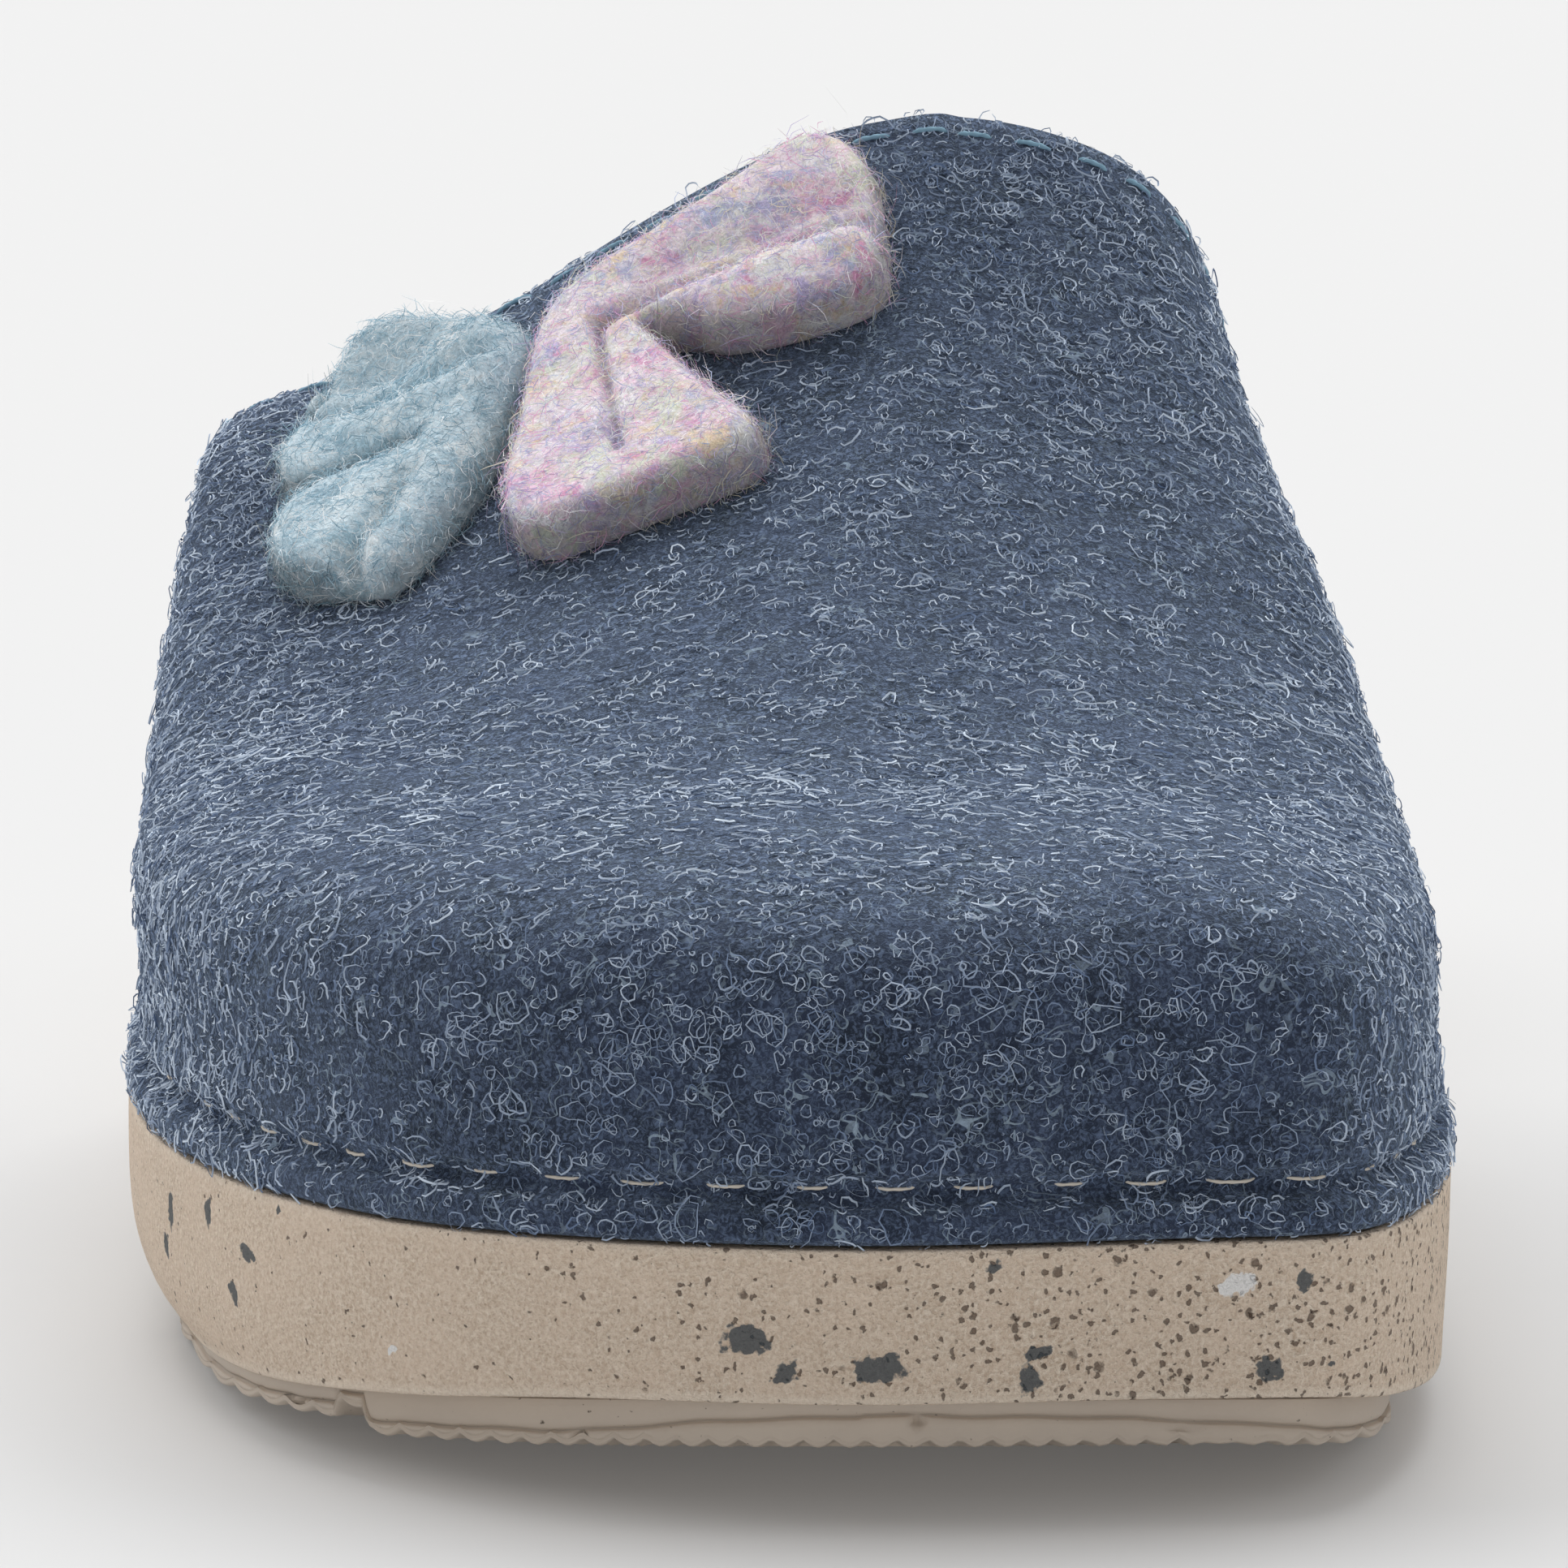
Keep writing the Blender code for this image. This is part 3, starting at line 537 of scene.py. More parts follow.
# Sanded foam: dull and dry, a fine grain of cut cells, open pores larger towards the big toe, and chips
# whose rims are frayed by the grain.
foam, tree, shader = new_material("sanded_foam")
place = add_node(tree, "TexCoord", {}, "Object")
cells = add_node(tree, "TexNoise", {"Vector": place, "Scale": 1 / (0.3 * MM), "Detail": 4.0,
                                    "Roughness": 0.75})
grain = add_node(tree, "MapRange", {"Value": cells, "From Min": 0.34, "From Max": 0.66})
broad = add_node(tree, "TexNoise", {"Vector": place, "Scale": 1 / (5 * MM), "Detail": 3.0})
broad = add_node(tree, "MapRange", {"Value": broad, "From Min": 0.35, "From Max": 0.65, "To Min": 0.15,
                                    "To Max": 0.5})
wear_and_shade = add_node(tree, "Attribute", {}, "Fac", attribute_name="rubbed")
wear_and_shade = add_node(tree, "Math", {0: wear_and_shade, 1: 0.5}, operation="MULTIPLY")
layers = [(grain, FOAM_PALE), (broad, FOAM), (wear_and_shade, FOAM_PALE)]
ragged = add_node(tree, "TexNoise", {"Vector": place, "Scale": 1 / (0.6 * MM), "Detail": 3.0})
frayed = add_node(tree, "VectorMath", {0: ragged.node.outputs["Color"], 1: (0.9 * MM,) * 3, 2: place},
                  operation="MULTIPLY_ADD")
across = add_node(tree, "SeparateXYZ", {"Vector": place})
height = add_node(tree, "Math", {0: ragged, 1: 1.5, 2: cells}, operation="MULTIPLY_ADD")
for pore in PORES:
    bubble = add_node(tree, "TexVoronoi", {"Vector": frayed, "Scale": 1 / (pore.spacing * MM)})
    pick = add_node(tree, "SeparateColor", {"Color": bubble.node.outputs["Color"]})
    cutoff = add_node(tree, "MapRange", {"Value": across, "From Min": PORES_RARE_AT * MM, "To Min": pore.rare,
                                         "From Max": PORES_COMMON_AT * MM, "To Max": pore.common})
    over = add_node(tree, "Math", {0: pick, 1: cutoff}, operation="SUBTRACT")
    size = add_node(tree, "MapRange", {"Value": over, "From Max": 0.3, "To Max": pore.size})
    depth = add_node(tree, "Math", {0: size, 1: bubble}, operation="SUBTRACT")
    # Each pore is sunk in the bump, and its hole is painted dark brown: painted shade inside the pore.
    hole = add_node(tree, "MapRange", {"Value": depth, "From Min": -0.02, "From Max": 0.08, "To Max": 0.76})
    layers.append((hole, FOAM_PORE_SHADE))
    height = add_node(tree, "Math", {0: hole, 1: -1.2, 2: height}, operation="MULTIPLY_ADD")
for label, chip_colour in (("dark_chip", CHIP_DARK), ("white_chip", CHIP_WHITE)):
    field = add_node(tree, "Attribute", {}, "Fac", attribute_name=label)
    field = add_node(tree, "Math", {0: ragged, 1: 1.5, 2: field}, operation="MULTIPLY_ADD")
    inside = add_node(tree, "MapRange", {"Value": field, "From Min": 0.72, "From Max": 0.88, "To Max": 0.88})
    layers.append((inside, chip_colour))
colour = layer_colours(tree, linear(FOAM_DARK), layers)
relief = add_node(tree, "Bump", {"Height": height, "Distance": 0.3 * MM, "Strength": 1.0})
feed(shader, {"Base Color": colour, "Normal": relief, "Roughness": 0.9, "Specular IOR Level": 0.2})
midsole.data.materials.append(foam)
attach(midsole, "root")
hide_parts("midsole")

# Insole: a footbed of the same navy felt, glued on the foam. It fits inside the upper's wall in front,
# comes out to the sole's edge behind the collar, and is pressed slightly hollow under heel and ball.
INSOLE_THICKNESS = 4.0
INSOLE_FRONT_INSET = 4.8
INSOLE_HEEL_INSET = 1.4
INSOLE_STEP = (161.0, 206.0)
INSOLE_STATIONS = 180
INSOLE_CROSSINGS = (2, 22)
INSOLE_RIM = 8.0
INSOLE_SIDE = (SideRow(0.0, 0.0), SideRow(0.0, 2.2), SideRow(0.1, 3.0), SideRow(0.4, 3.6), SideRow(0.9, 3.9),
               SideRow(1.6, INSOLE_THICKNESS))
# A swell or a hollow: a place on the surface, how far it spreads each way and how far it stands out.
Swell = namedtuple("Swell", "across from_toe spread_across spread_along outward")
INSOLE_HOLLOWS = (
    Swell(0.0, 212.0, 24.0, 30.0, -1.0),
    Swell(6.0, 74.0, 30.0, 28.0, -0.6),
)
FELT_DARK, FELT_MID, FELT_LIGHT = "#232a38", "#363f55", "#5d6c87"
FELT_CURL, FELT_GRAZING_SHEEN = "#aec2d4", "#8ea3c8"
DrawnCurl = namedtuple("DrawnCurl", "size level shift")
DRAWN_CURLS = (DrawnCurl(2.3, 0.60, 0.0), DrawnCurl(1.5, 0.57, 0.31))
PRESSED_CURL_SHARE, LOOPED_CURL_SHARE = 0.3, 0.55


def swelling(spots, swells):
    """Sum of the swells at each spot, each a bell over its place."""
    return sum(swell.outward * np.exp(-((spots[..., 0] - swell.across) / swell.spread_across) ** 2
                                      - ((spots[..., 1] - swell.from_toe) / swell.spread_along) ** 2)
               for swell in swells)


def insole_under(plan):
    """Underside of the footbed, just over the foam."""
    return foam_top(plan) + SEAT_GAP


def insole_top(plan):
    """Top of the footbed: its thickness over the foam, pressed hollow at heel and ball."""
    return insole_under(plan) + INSOLE_THICKNESS + swelling(plan, INSOLE_HOLLOWS)


back = fade(sole_ring(INSOLE_STATIONS)[:, 1], *INSOLE_STEP)
distance = INSOLE_FRONT_INSET + (INSOLE_HEEL_INSET - INSOLE_FRONT_INSET) * back
rings = []
for row in INSOLE_SIDE:
    plan = sole_ring(INSOLE_STATIONS, distance + row.inward)
    rings.append(np.column_stack([plan, insole_under(plan) + row.up]))
insole = add_piece("insole_felt", *slab_mesh(np.stack(rings), INSOLE_CROSSINGS, (insole_under, insole_top),
                                             INSOLE_RIM))


def felt_material(name, curl_share):
    """Milled wool felt: a dark matted ground, heathered, with paler fibres curling over it. The curls are
    thin contour lines of two noises, patchy by a third, and they stand out in the bump."""
    material, tree, shader = new_material(name)
    place = add_node(tree, "TexCoord", {}, "Object")
    heather = add_node(tree, "TexNoise", {"Vector": place, "Scale": 1 / (5 * MM), "Detail": 3.0})
    heather = add_node(tree, "MapRange", {"Value": heather, "From Min": 0.3, "From Max": 0.7})
    fibre = add_node(tree, "TexNoise", {"Vector": place, "Scale": 1 / (0.42 * MM), "Detail": 3.0,
                                        "Roughness": 0.7, "Distortion": 1.2})
    matted = add_node(tree, "MapRange", {"Value": fibre, "From Min": 0.45, "From Max": 0.66})
    layers = [(heather, FELT_MID), (matted, FELT_LIGHT)]
    height = fibre
    for curl in DRAWN_CURLS:
        moved = add_node(tree, "Mapping", {"Vector": place, "Location": (curl.shift,) * 3})
        line = add_node(tree, "TexNoise", {"Vector": moved, "Scale": 1 / (curl.size * MM), "Detail": 1.0,
                                           "Distortion": 0.6})
        line = add_node(tree, "Math", {0: line, 1: curl.level, 2: 0.012}, operation="COMPARE")
        patch = add_node(tree, "TexNoise", {"Vector": moved, "Scale": 1 / (3.2 * MM), "Detail": 1.0})
        patch = add_node(tree, "MapRange", {"Value": patch, "From Min": 0.42, "From Max": 0.66,
                                            "To Max": curl_share})
        line = add_node(tree, "Math", {0: line, 1: patch}, operation="MULTIPLY")
        layers.append((line, FELT_CURL))
        height = add_node(tree, "Math", {0: line, 1: 0.6, 2: height}, operation="MULTIPLY_ADD")
    # Painted sheen: where the felt is seen at a grazing angle its colour is laid paler, most on the fibre
    # noise's high spots.
    grazing = add_node(tree, "LayerWeight", {"Blend": 0.5}, "Facing")
    grazing = add_node(tree, "Math", {0: grazing, 1: 1.4}, operation="POWER")
    tips = add_node(tree, "MapRange", {"Value": fibre, "From Min": 0.48, "From Max": 0.64, "To Max": 0.6})
    layers.append((add_node(tree, "Math", {0: grazing, 1: tips}, operation="MULTIPLY"), FELT_GRAZING_SHEEN))
    colour = layer_colours(tree, linear(FELT_DARK), layers)
    relief = add_node(tree, "Bump", {"Height": height, "Distance": 0.35 * MM, "Strength": 0.9})
    feed(shader, {"Base Color": colour, "Normal": relief, "Roughness": 0.95, "Specular IOR Level": 0.1,
                  "Sheen Weight": 0.4, "Sheen Roughness": 0.5, "Sheen Tint": linear(FELT_CURL)})
    return material


# Wool felt, pressed plain on the footbed, so that only a few short curls show.
insole.data.materials.append(felt_material("pressed_wool_felt", PRESSED_CURL_SHARE))
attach(insole, "root")
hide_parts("insole")

# Upper: one piece of thick wool felt, moulded on the last, cut open at the collar. Its lower edge is
# turned out as a flange, sewn down along the toe with a sunk seam and trimmed flush with the sole.
INSTEP_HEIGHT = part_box("upper")[1][2] / MM
INSTEP_FROM_TOE = 128.0
FELT_WALL = 3.2
FELT_OVER_FOAM = 0.05
FLANGE_STEP = 1.0
COLLAR_LEAN_OUTER = 30.0
COLLAR_LEAN_INNER = 26.0
COLLAR_LEAN_POWER = 1.5
COLLAR_ROUND = 0.7
CROWN_POWER = 1.05
SIDE_COLUMNS = 56
TOE_COLUMNS = 104
FOOT_ROWS = 26
DOME_ROWS = 58
RIDGE_ROWS = 4
RIM_ROWS = 7
SEAM_HEIGHT = 3.6
SEAM_PITCH = 5.7
SEAM_DRAWN_IN, SEAM_DRAWN_WIDTH = 0.45, 1.0
NAP_DEPTH = 0.35
LUMP_HEIGHT = 0.12

# The ridge of the instep, with its height in per cent of the instep's, and the walls below it: around goes
# from the collar's outer end at -1 over the toe to its inner end at 1.
RidgeRow = namedtuple("RidgeRow", "from_toe across height")
RIDGE = (
    RidgeRow(40.0, 3.0, 51.4),
    RidgeRow(50.0, 4.5, 53.0),
    RidgeRow(66.0, 6.5, 58.6),
    RidgeRow(86.0, 9.0, 68.6),
    RidgeRow(108.0, 11.5, 82.6),
    RidgeRow(INSTEP_FROM_TOE, 13.5, 100.0),
)
WallRow = namedtuple("WallRow", "around shoulder squareness flare")
WALLS = (
    WallRow(-1.00, 62.5, 16.0, 3.0),
    WallRow(-0.85, 52.0, 9.0, 2.0),
    WallRow(-0.68, 43.6, 5.0, 1.2),
    WallRow(-0.50, 42.0, 4.2, 1.0),
    WallRow(-0.20, 43.0, 4.0, 0.0),
    WallRow(0.20, 43.0, 4.0, 0.0),
    WallRow(0.50, 42.5, 4.4, 0.0),
    WallRow(0.68, 47.0, 4.5, 0.0),
    WallRow(0.85, 62.5, 4.5, 0.0),
    WallRow(1.00, 82.0, 4.8, 0.0),
)
FlangeRow = namedtuple("FlangeRow", "height outward")
FLANGE = (
    FlangeRow(0.0, 0.8),
    FlangeRow(0.4, 1.15),
    FlangeRow(1.5, 1.25),
    FlangeRow(2.7, 0.9),
    FlangeRow(SEAM_HEIGHT, -0.5),
    FlangeRow(4.7, 0.3),
    FlangeRow(9.0, 0.0),
)
# Soft dents and swells that the wearer's foot and the last left in the felt.
SWELLS = (
    Swell(-22.0, 60.0, 12.0, 16.0, -0.35),
    Swell(24.0, 64.0, 10.0, 18.0, 0.3),
    Swell(-4.0, 92.0, 9.0, 14.0, -0.4),
    Swell(26.0, 98.0, 9.0, 12.0, -0.4),
)


def ridge(from_toe, depth):
    """Ridge of the upper at stations from the toe, lowered by depth for the inner face."""
    across = by_column(from_toe, RIDGE, "from_toe", "across")
    height = by_column(from_toe, RIDGE, "from_toe", "height") * INSTEP_HEIGHT / 100
    return np.stack([across, from_toe, height - depth], axis=1)


def feather_edge(depth):
    """Where the wall's columns meet the sole, the ridge points they rise to and their plan normals: side
    columns at even stations along the ridge, toe columns at even lengths round the nose."""
    edge = inset(EDGE, FLANGE_STEP + depth)
    front = RIDGE[0].from_toe
    share = np.linspace(1, 0, SIDE_COLUMNS + 1)
    stations = front + (INSTEP_FROM_TOE - front) * share
    tops = ridge(stations, depth)
    inner, outer = edge_sides(edge)
    leans = [lean * share ** 2 for lean in (COLLAR_LEAN_OUTER, COLLAR_LEAN_INNER)]
    feet = [np.stack([np.interp(stations + lean, side[:, 1], side[:, 0]), stations + lean], axis=1)
            for side, lean in zip((outer, inner), leans)]
    nose = np.concatenate([feet[0][-1:], outer[outer[:, 1] < front][::-1], inner[inner[:, 1] < front][1:],
                           feet[1][-1:]])
    reach = run_along(nose)
    at = np.linspace(0, reach[-1], TOE_COLUMNS + 1)
    toe = np.stack([np.interp(at, reach, nose[:, k]) for k in (0, 1)], axis=1)
    foot = np.concatenate([feet[0][:-1], toe, feet[1][-2::-1]])
    lean = np.concatenate([leans[0][:-1], np.zeros(TOE_COLUMNS + 1), leans[1][-2::-1]])
    top = np.concatenate([tops[:-1], np.repeat(tops[-1:], TOE_COLUMNS + 1, axis=0), tops[-2::-1]])
    around = np.concatenate([-0.5 - share[:-1] / 2, np.linspace(-0.5, 0.5, TOE_COLUMNS + 1),
                             0.5 + share[-2::-1] / 2])
    along = unit(np.gradient(foot, axis=0))
    return foot, top, lean, around, np.stack([along[:, 1], -along[:, 0]], axis=1)


def upper_face(depth=0.0, flange=1.0):
    """One face of the upper, columns round the sole's edge by rows from the sole to the ridge. The foot of
    a column is upright with the flange's offsets. Above it the wall turns over as a superellipse into the
    crown, which swells by a raised cosine from the shoulder's height to the ridge's."""
    foot, top, lean, around, outward = feather_edge(depth)
    shoulder = by_column(around, WALLS, "around", "shoulder")[:, None] - depth
    power = by_column(around, WALLS, "around", "squareness")[:, None]
    flare = by_column(around, WALLS, "around", "flare")[:, None]
    base = sole_height(foot[:, 1], "foam_top")[:, None] + FELT_OVER_FOAM
    rise = np.linspace(0, FLANGE[-1].height, FOOT_ROWS)[None]
    v = np.linspace(0, 1, DOME_ROWS + 1)[None, 1:]
    warp = v ** (power / 2) / (v ** (power / 2) + (1 - v) ** (power / 2))
    reach = np.cos(warp * math.pi / 2) ** (2 / power)
    reach[:, -1] = 0
    lift = np.sin(warp * math.pi / 2) ** (2 / power)
    swell = ((1 + np.cos(math.pi * reach)) / 2) ** CROWN_POWER
    crown = shoulder + (top[:, 2:] - shoulder) * swell
    spring = base + FLANGE[-1].height
    height = np.concatenate([base + rise, spring + (crown - spring) * lift], axis=1)
    step = flange * by_column(rise, FLANGE, "height", "outward")
    step = np.concatenate([np.repeat(step, len(foot), axis=0), flare * lift * reach], axis=1)
    reach = np.concatenate([np.ones((len(foot), FOOT_ROWS)), reach], axis=1)
    drop = np.clip((top[:, 2:] - height) / (top[:, 2:] - base), 0, 1)
    across = top[:, :1] + (foot[:, :1] - top[:, :1]) * reach + outward[:, :1] * step
    from_toe = top[:, 1:2] + (foot[:, 1] - lean - top[:, 1])[:, None] * reach + outward[:, 1:] * step
    return np.stack([across, from_toe + lean[:, None] * drop ** COLLAR_LEAN_POWER, height], axis=2)


def face_normals(face):
    """Unit normals of a grid of points, away from the foot. At the ridge they are those of the row below."""
    normals = np.cross(np.gradient(face, axis=0), np.gradient(face, axis=1))
    normals[:, -1] = normals[:, -2]
    return unit(normals)


def shape_felt(face):
    """The outer face with its swells, dents and small lumps, and drawn in under each stitch of the toe seam.
    The push along the normals fades out at the ridge, where the columns of both sides meet."""
    row = np.arange(face.shape[1])
    lumps = np.sin(face[..., 0] / 3.1 + 1) * np.sin(face[..., 1] / 3.7) * np.sin(face[..., 2] / 2.9 + 2)
    push = swelling(face, SWELLS) - NAP_DEPTH + LUMP_HEIGHT * lumps * fade(row, 0, FOOT_ROWS)
    above = face[..., 2] - face[:, :1, 2] - SEAM_HEIGHT
    stitch = 0.5 + 0.5 * np.cos(2 * math.pi * run_along(face[:, FOOT_ROWS // 2]) / SEAM_PITCH)
    push -= SEAM_DRAWN_IN * np.exp(-(above / SEAM_DRAWN_WIDTH) ** 2) * stitch[:, None]
    return face + face_normals(face) * (push * fade(row, row[-1], row[-1] - RIDGE_ROWS))[..., None]


outer_face = shape_felt(upper_face())
inner_face = upper_face(depth=FELT_WALL, flange=0.0)
rims = [(outer_face[:, 0], inner_face[:, 0], 0.0)]
for end, neighbour in ((0, 1), (-1, -2)):
    away = unit(outer_face[end] - outer_face[neighbour])
    rims.append((outer_face[end], inner_face[end], COLLAR_ROUND * away))
share = np.linspace(0, 1, RIM_ROWS)[:, None, None]
strips = [start * (1 - share) + stop * share + bulge * np.sqrt(np.sin(math.pi * share))
          for start, stop, bulge in rims]
upper = add_piece("upper_felt", *join_sheets([outer_face, inner_face, *strips]))

# The same wool felt, left looped by the milling, so that many curls show.
upper.data.materials.append(felt_material("looped_wool_felt", LOOPED_CURL_SHARE))
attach(upper, "root")
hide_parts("upper")

# Curly fibres of the felt: pale wool that the milling drew out of the ground as loose loops, thickest in
# clumps, along the edges and on the big-toe side of the instep.
CURL_DIM, CURL_PALE = "#5f7394", "#e4f1ff"
CurlKind = namedtuple("CurlKind", "name count steps size turns tilt width")
CURLS = (
    CurlKind("upper_curls_large", 7800, 12, 0.58, (0.92, 1.2), 0.24, 0.13),
    CurlKind("upper_curls_small", 11600, 9, 0.4, (0.85, 1.15), 0.26, 0.115),
    CurlKind("upper_curls_fine", 9000, 6, 0.24, (0.6, 1.0), 0.3, 0.1),
    CurlKind("upper_fibres", 3400, 5, 0.75, (0.12, 0.4), 0.1, 0.085),
)
CURL_LIFT = (0.06, 0.27)
CURL_SUNK = 0.06
# How pale the curls' tints run, and the painted shade taken off the curls on faces turned to the front.
CURL_PALENESS, CURL_FRONT_SHADE = 1.08, 0.45
CURLS_ALL_OVER, CURLS_IN_CLUMPS = 0.45, 0.5
CURLS_LITTLE_TOE, LITTLE_TOE_EDGE = 1.0, (-30.0, -42.0)
CURLS_BIG_TOE, BIG_TOE_EDGE = 0.5, (34.0, 42.0)
CURLS_INSTEP, INSTEP_ACROSS, INSTEP_UP = 0.6, (6.0, 20.0), (54.0, 68.0)
CURLS_LOST, HOLLOW_START, HOLLOW_END = 0.15, (44.0, 48.0), (62.0, 56.0)


def scatter(face, count, draw, weight):
    """Places strewn over a grid, in proportion to each cell's area times its weight, with their tangents
    and outward normals."""
    across, up = np.diff(face, axis=0)[:, :-1], np.diff(face, axis=1)[:-1]
    normals = np.cross(across, up)
    area = np.linalg.norm(normals, axis=2)
    total = np.cumsum((area * weight[:-1, :-1]).ravel())
    cell = np.searchsorted(total, draw.random(count) * total[-1])
    i, j = np.unravel_index(np.minimum(cell, area.size - 1), area.shape)
    a, b = draw.random((2, count, 1))
    low = face[i, j] * (1 - a) + face[i + 1, j] * a
    high = face[i, j + 1] * (1 - a) + face[i + 1, j + 1] * a
    first = unit(across[i, j])
    normal = unit(normals[i, j])
    return low * (1 - b) + high * b, first, np.cross(normal, first), normal


def ribbons(paths, normals, widths, draw):
    """Flat fibres along many paths at once, each leaned about half upright to either side, so that it shows
    from above and from the side alike, and tapered to its ends."""
    count, steps = paths.shape[:2]
    ahead = unit(np.gradient(paths, axis=1))
    flat = unit(np.cross(ahead, normals[:, None]))
    lean = (draw.choice((-1, 1), count) * draw.uniform(0.5, 1.0, count))[:, None, None]
    side = flat * np.cos(lean) + np.cross(ahead, flat) * np.sin(lean)
    taper = 0.35 + 0.65 * np.sqrt(np.sin(math.pi * np.linspace(0, 1, steps)))
    side *= (widths[:, None] * taper / 2)[..., None]
    points = np.stack([paths - side, paths + side], axis=2).reshape(-1, 3)
    number = np.arange(len(points)).reshape(count, steps, 2)
    corners = [number[:, :-1, 0], number[:, :-1, 1], number[:, 1:, 1], number[:, 1:, 0]]
    return points, np.stack(corners, axis=-1).reshape(-1, 4)


def curl_paths(origin, first, second, normal, kind, draw):
    """Curls in the tangent plane: an arc of so many turns on a wobbling ellipse, lifted off the felt in its
    middle and dipping into it at both ends."""
    count = len(origin)
    t = np.linspace(0, 1, kind.steps)
    angle = draw.uniform(*kind.turns, count)[:, None] * 2 * math.pi * (t - 0.5)
    radius = kind.size * np.exp(draw.normal(0, 0.32, count))[:, None]
    radius = radius * (1 + 0.22 * np.sin(2 * angle + draw.uniform(0, 7, count)[:, None])
                       + 0.16 * np.sin(3 * angle + draw.uniform(0, 7, count)[:, None]))
    squash = draw.uniform(0.55, 1.0, count)[:, None]
    tail = draw.normal(0, 0.6, count)[:, None] * (t - 0.5) ** 3 * 4
    x, y = radius * np.cos(angle) + tail * radius, radius * squash * np.sin(angle)
    turn = draw.uniform(0, 2 * math.pi, count)[:, None]
    lift = draw.uniform(*CURL_LIFT, count)[:, None] * np.sin(math.pi * t) ** 0.6 - CURL_SUNK
    lift = lift + draw.uniform(0.0, kind.tilt, count)[:, None] * (x - x.min(axis=1)[:, None])
    return (origin[:, None] + first[:, None] * (x * np.cos(turn) - y * np.sin(turn))[..., None]
            + second[:, None] * (x * np.sin(turn) + y * np.cos(turn))[..., None]
            + normal[:, None] * lift[..., None])


def curl_weight(face):
    """Where the curls gather: clumps from crossed waves, more of them at both edges and on the
    big-toe side of the instep, fewer in its hollow over the toes."""
    x, y, z = face[..., 0], face[..., 1], face[..., 2]
    clumps = (np.sin(x / 1.9 + 2 * np.sin(z / 3.1)) + np.sin(y / 2.3 + 2 * np.sin(x / 4.3))
              + np.sin(z / 1.7 + 2 * np.sin(y / 5.1)))
    edges = CURLS_LITTLE_TOE * fade(x, *LITTLE_TOE_EDGE) + CURLS_BIG_TOE * fade(x, *BIG_TOE_EDGE)
    instep = CURLS_INSTEP * fade(x, *INSTEP_ACROSS) * fade(z, *INSTEP_UP)
    hollow = CURLS_LOST * fade(z, *HOLLOW_START) * fade(z, *HOLLOW_END)
    return CURLS_ALL_OVER + CURLS_IN_CLUMPS * fade(clumps, -1.5, 1.5) + edges + instep - hollow


def between(first, second, share):
    """Linear colours between two hex values, one for each share."""
    return np.array(linear(first)) * (1 - share)[:, None] + np.array(linear(second)) * share[:, None]


# Single wool fibres: matt, each with a colour of its own between the ground's grey-blue and nearly white.
wool, tree, shader = new_material("wool_fibre")
fibre_colour = add_node(tree, "Attribute", {}, "Color", attribute_name="tint")
feed(shader, {"Base Color": fibre_colour, "Roughness": 0.8, "Specular IOR Level": 0.2})

draw = np.random.default_rng(5)
weight = curl_weight(outer_face)
for kind in CURLS:
    origin, first, second, normal = scatter(outer_face, kind.count, draw, weight)
    paths = curl_paths(origin, first, second, normal, kind, draw)
    points, faces = ribbons(paths, normal, kind.width * draw.uniform(0.7, 1.25, kind.count), draw)
    # Painted shade: curls on faces turned to the front get a dimmer tint, because the light from above
    # reaches them less.
    wear_and_shade = CURL_PALENESS - CURL_FRONT_SHADE * fade(normal[:, 1], 0, -1)
    tint = between(CURL_DIM, CURL_PALE, wear_and_shade * draw.beta(1.6, 1.9, kind.count))
    curls = add_piece(kind.name, points, faces, solid=False, tint=np.repeat(tint, 2 * kind.steps, axis=0))
    curls.data.materials.append(wool)
    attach(curls, "root")

# Seams of the upper: a waxed off-white thread sewn by hand along the toe, sunk in the felt, and a pale blue
# one along the collar. Each stitch is a bow of thread that dives into the felt at both ends.
TOE_THREAD, COLLAR_THREAD = "#d8d0c4", "#86a9bd"
COLLAR_SEAM_IN = 2.1
COLLAR_COLUMNS = 8
STITCH_ENDS_IN = 0.55
PLY_TWIST, PLY_PITCH = 0.2, 0.9
Seam = namedtuple("Seam", "name colour pitch stitch radius")
SEAMS = (
    Seam("toe_stitches", TOE_THREAD, SEAM_PITCH, 3.6, 0.12),
    Seam("collar_stitches", COLLAR_THREAD, 4.6, 3.4, 0.2),
)


def seam_line(face, normals, up):
    """Points and normals of the face at a height over its foot, from one collar edge to the other."""
    above = face[..., 2] - face[:, :1, 2]
    row = np.argmax(above > up, axis=1)
    column = np.arange(len(face))
    share = ((up - above[column, row - 1]) / (above[column, row] - above[column, row - 1]))[:, None]
    spots = face[column, row - 1] * (1 - share) + face[column, row] * share
    return spots, normals[column, row]


def collar_line(face, normals, inward):
    """Points and normals along both collar edges at a distance in from them, over the ridge."""
    halves = []
    for side, turned in ((face, normals), (face[::-1], normals[::-1])):
        away = np.cumsum(np.linalg.norm(np.diff(side[:COLLAR_COLUMNS], axis=0), axis=2), axis=0)
        away = np.concatenate([np.zeros((1, away.shape[1])), away])
        column = np.argmax(away > inward, axis=0)
        row = np.arange(side.shape[1])
        share = ((inward - away[column - 1, row]) / (away[column, row] - away[column - 1, row]))[:, None]
        halves.append((side[column - 1, row] * (1 - share) + side[column, row] * share, turned[column, row]))
    return [np.concatenate([first[:-1], second[::-1]]) for first, second in zip(*halves)]


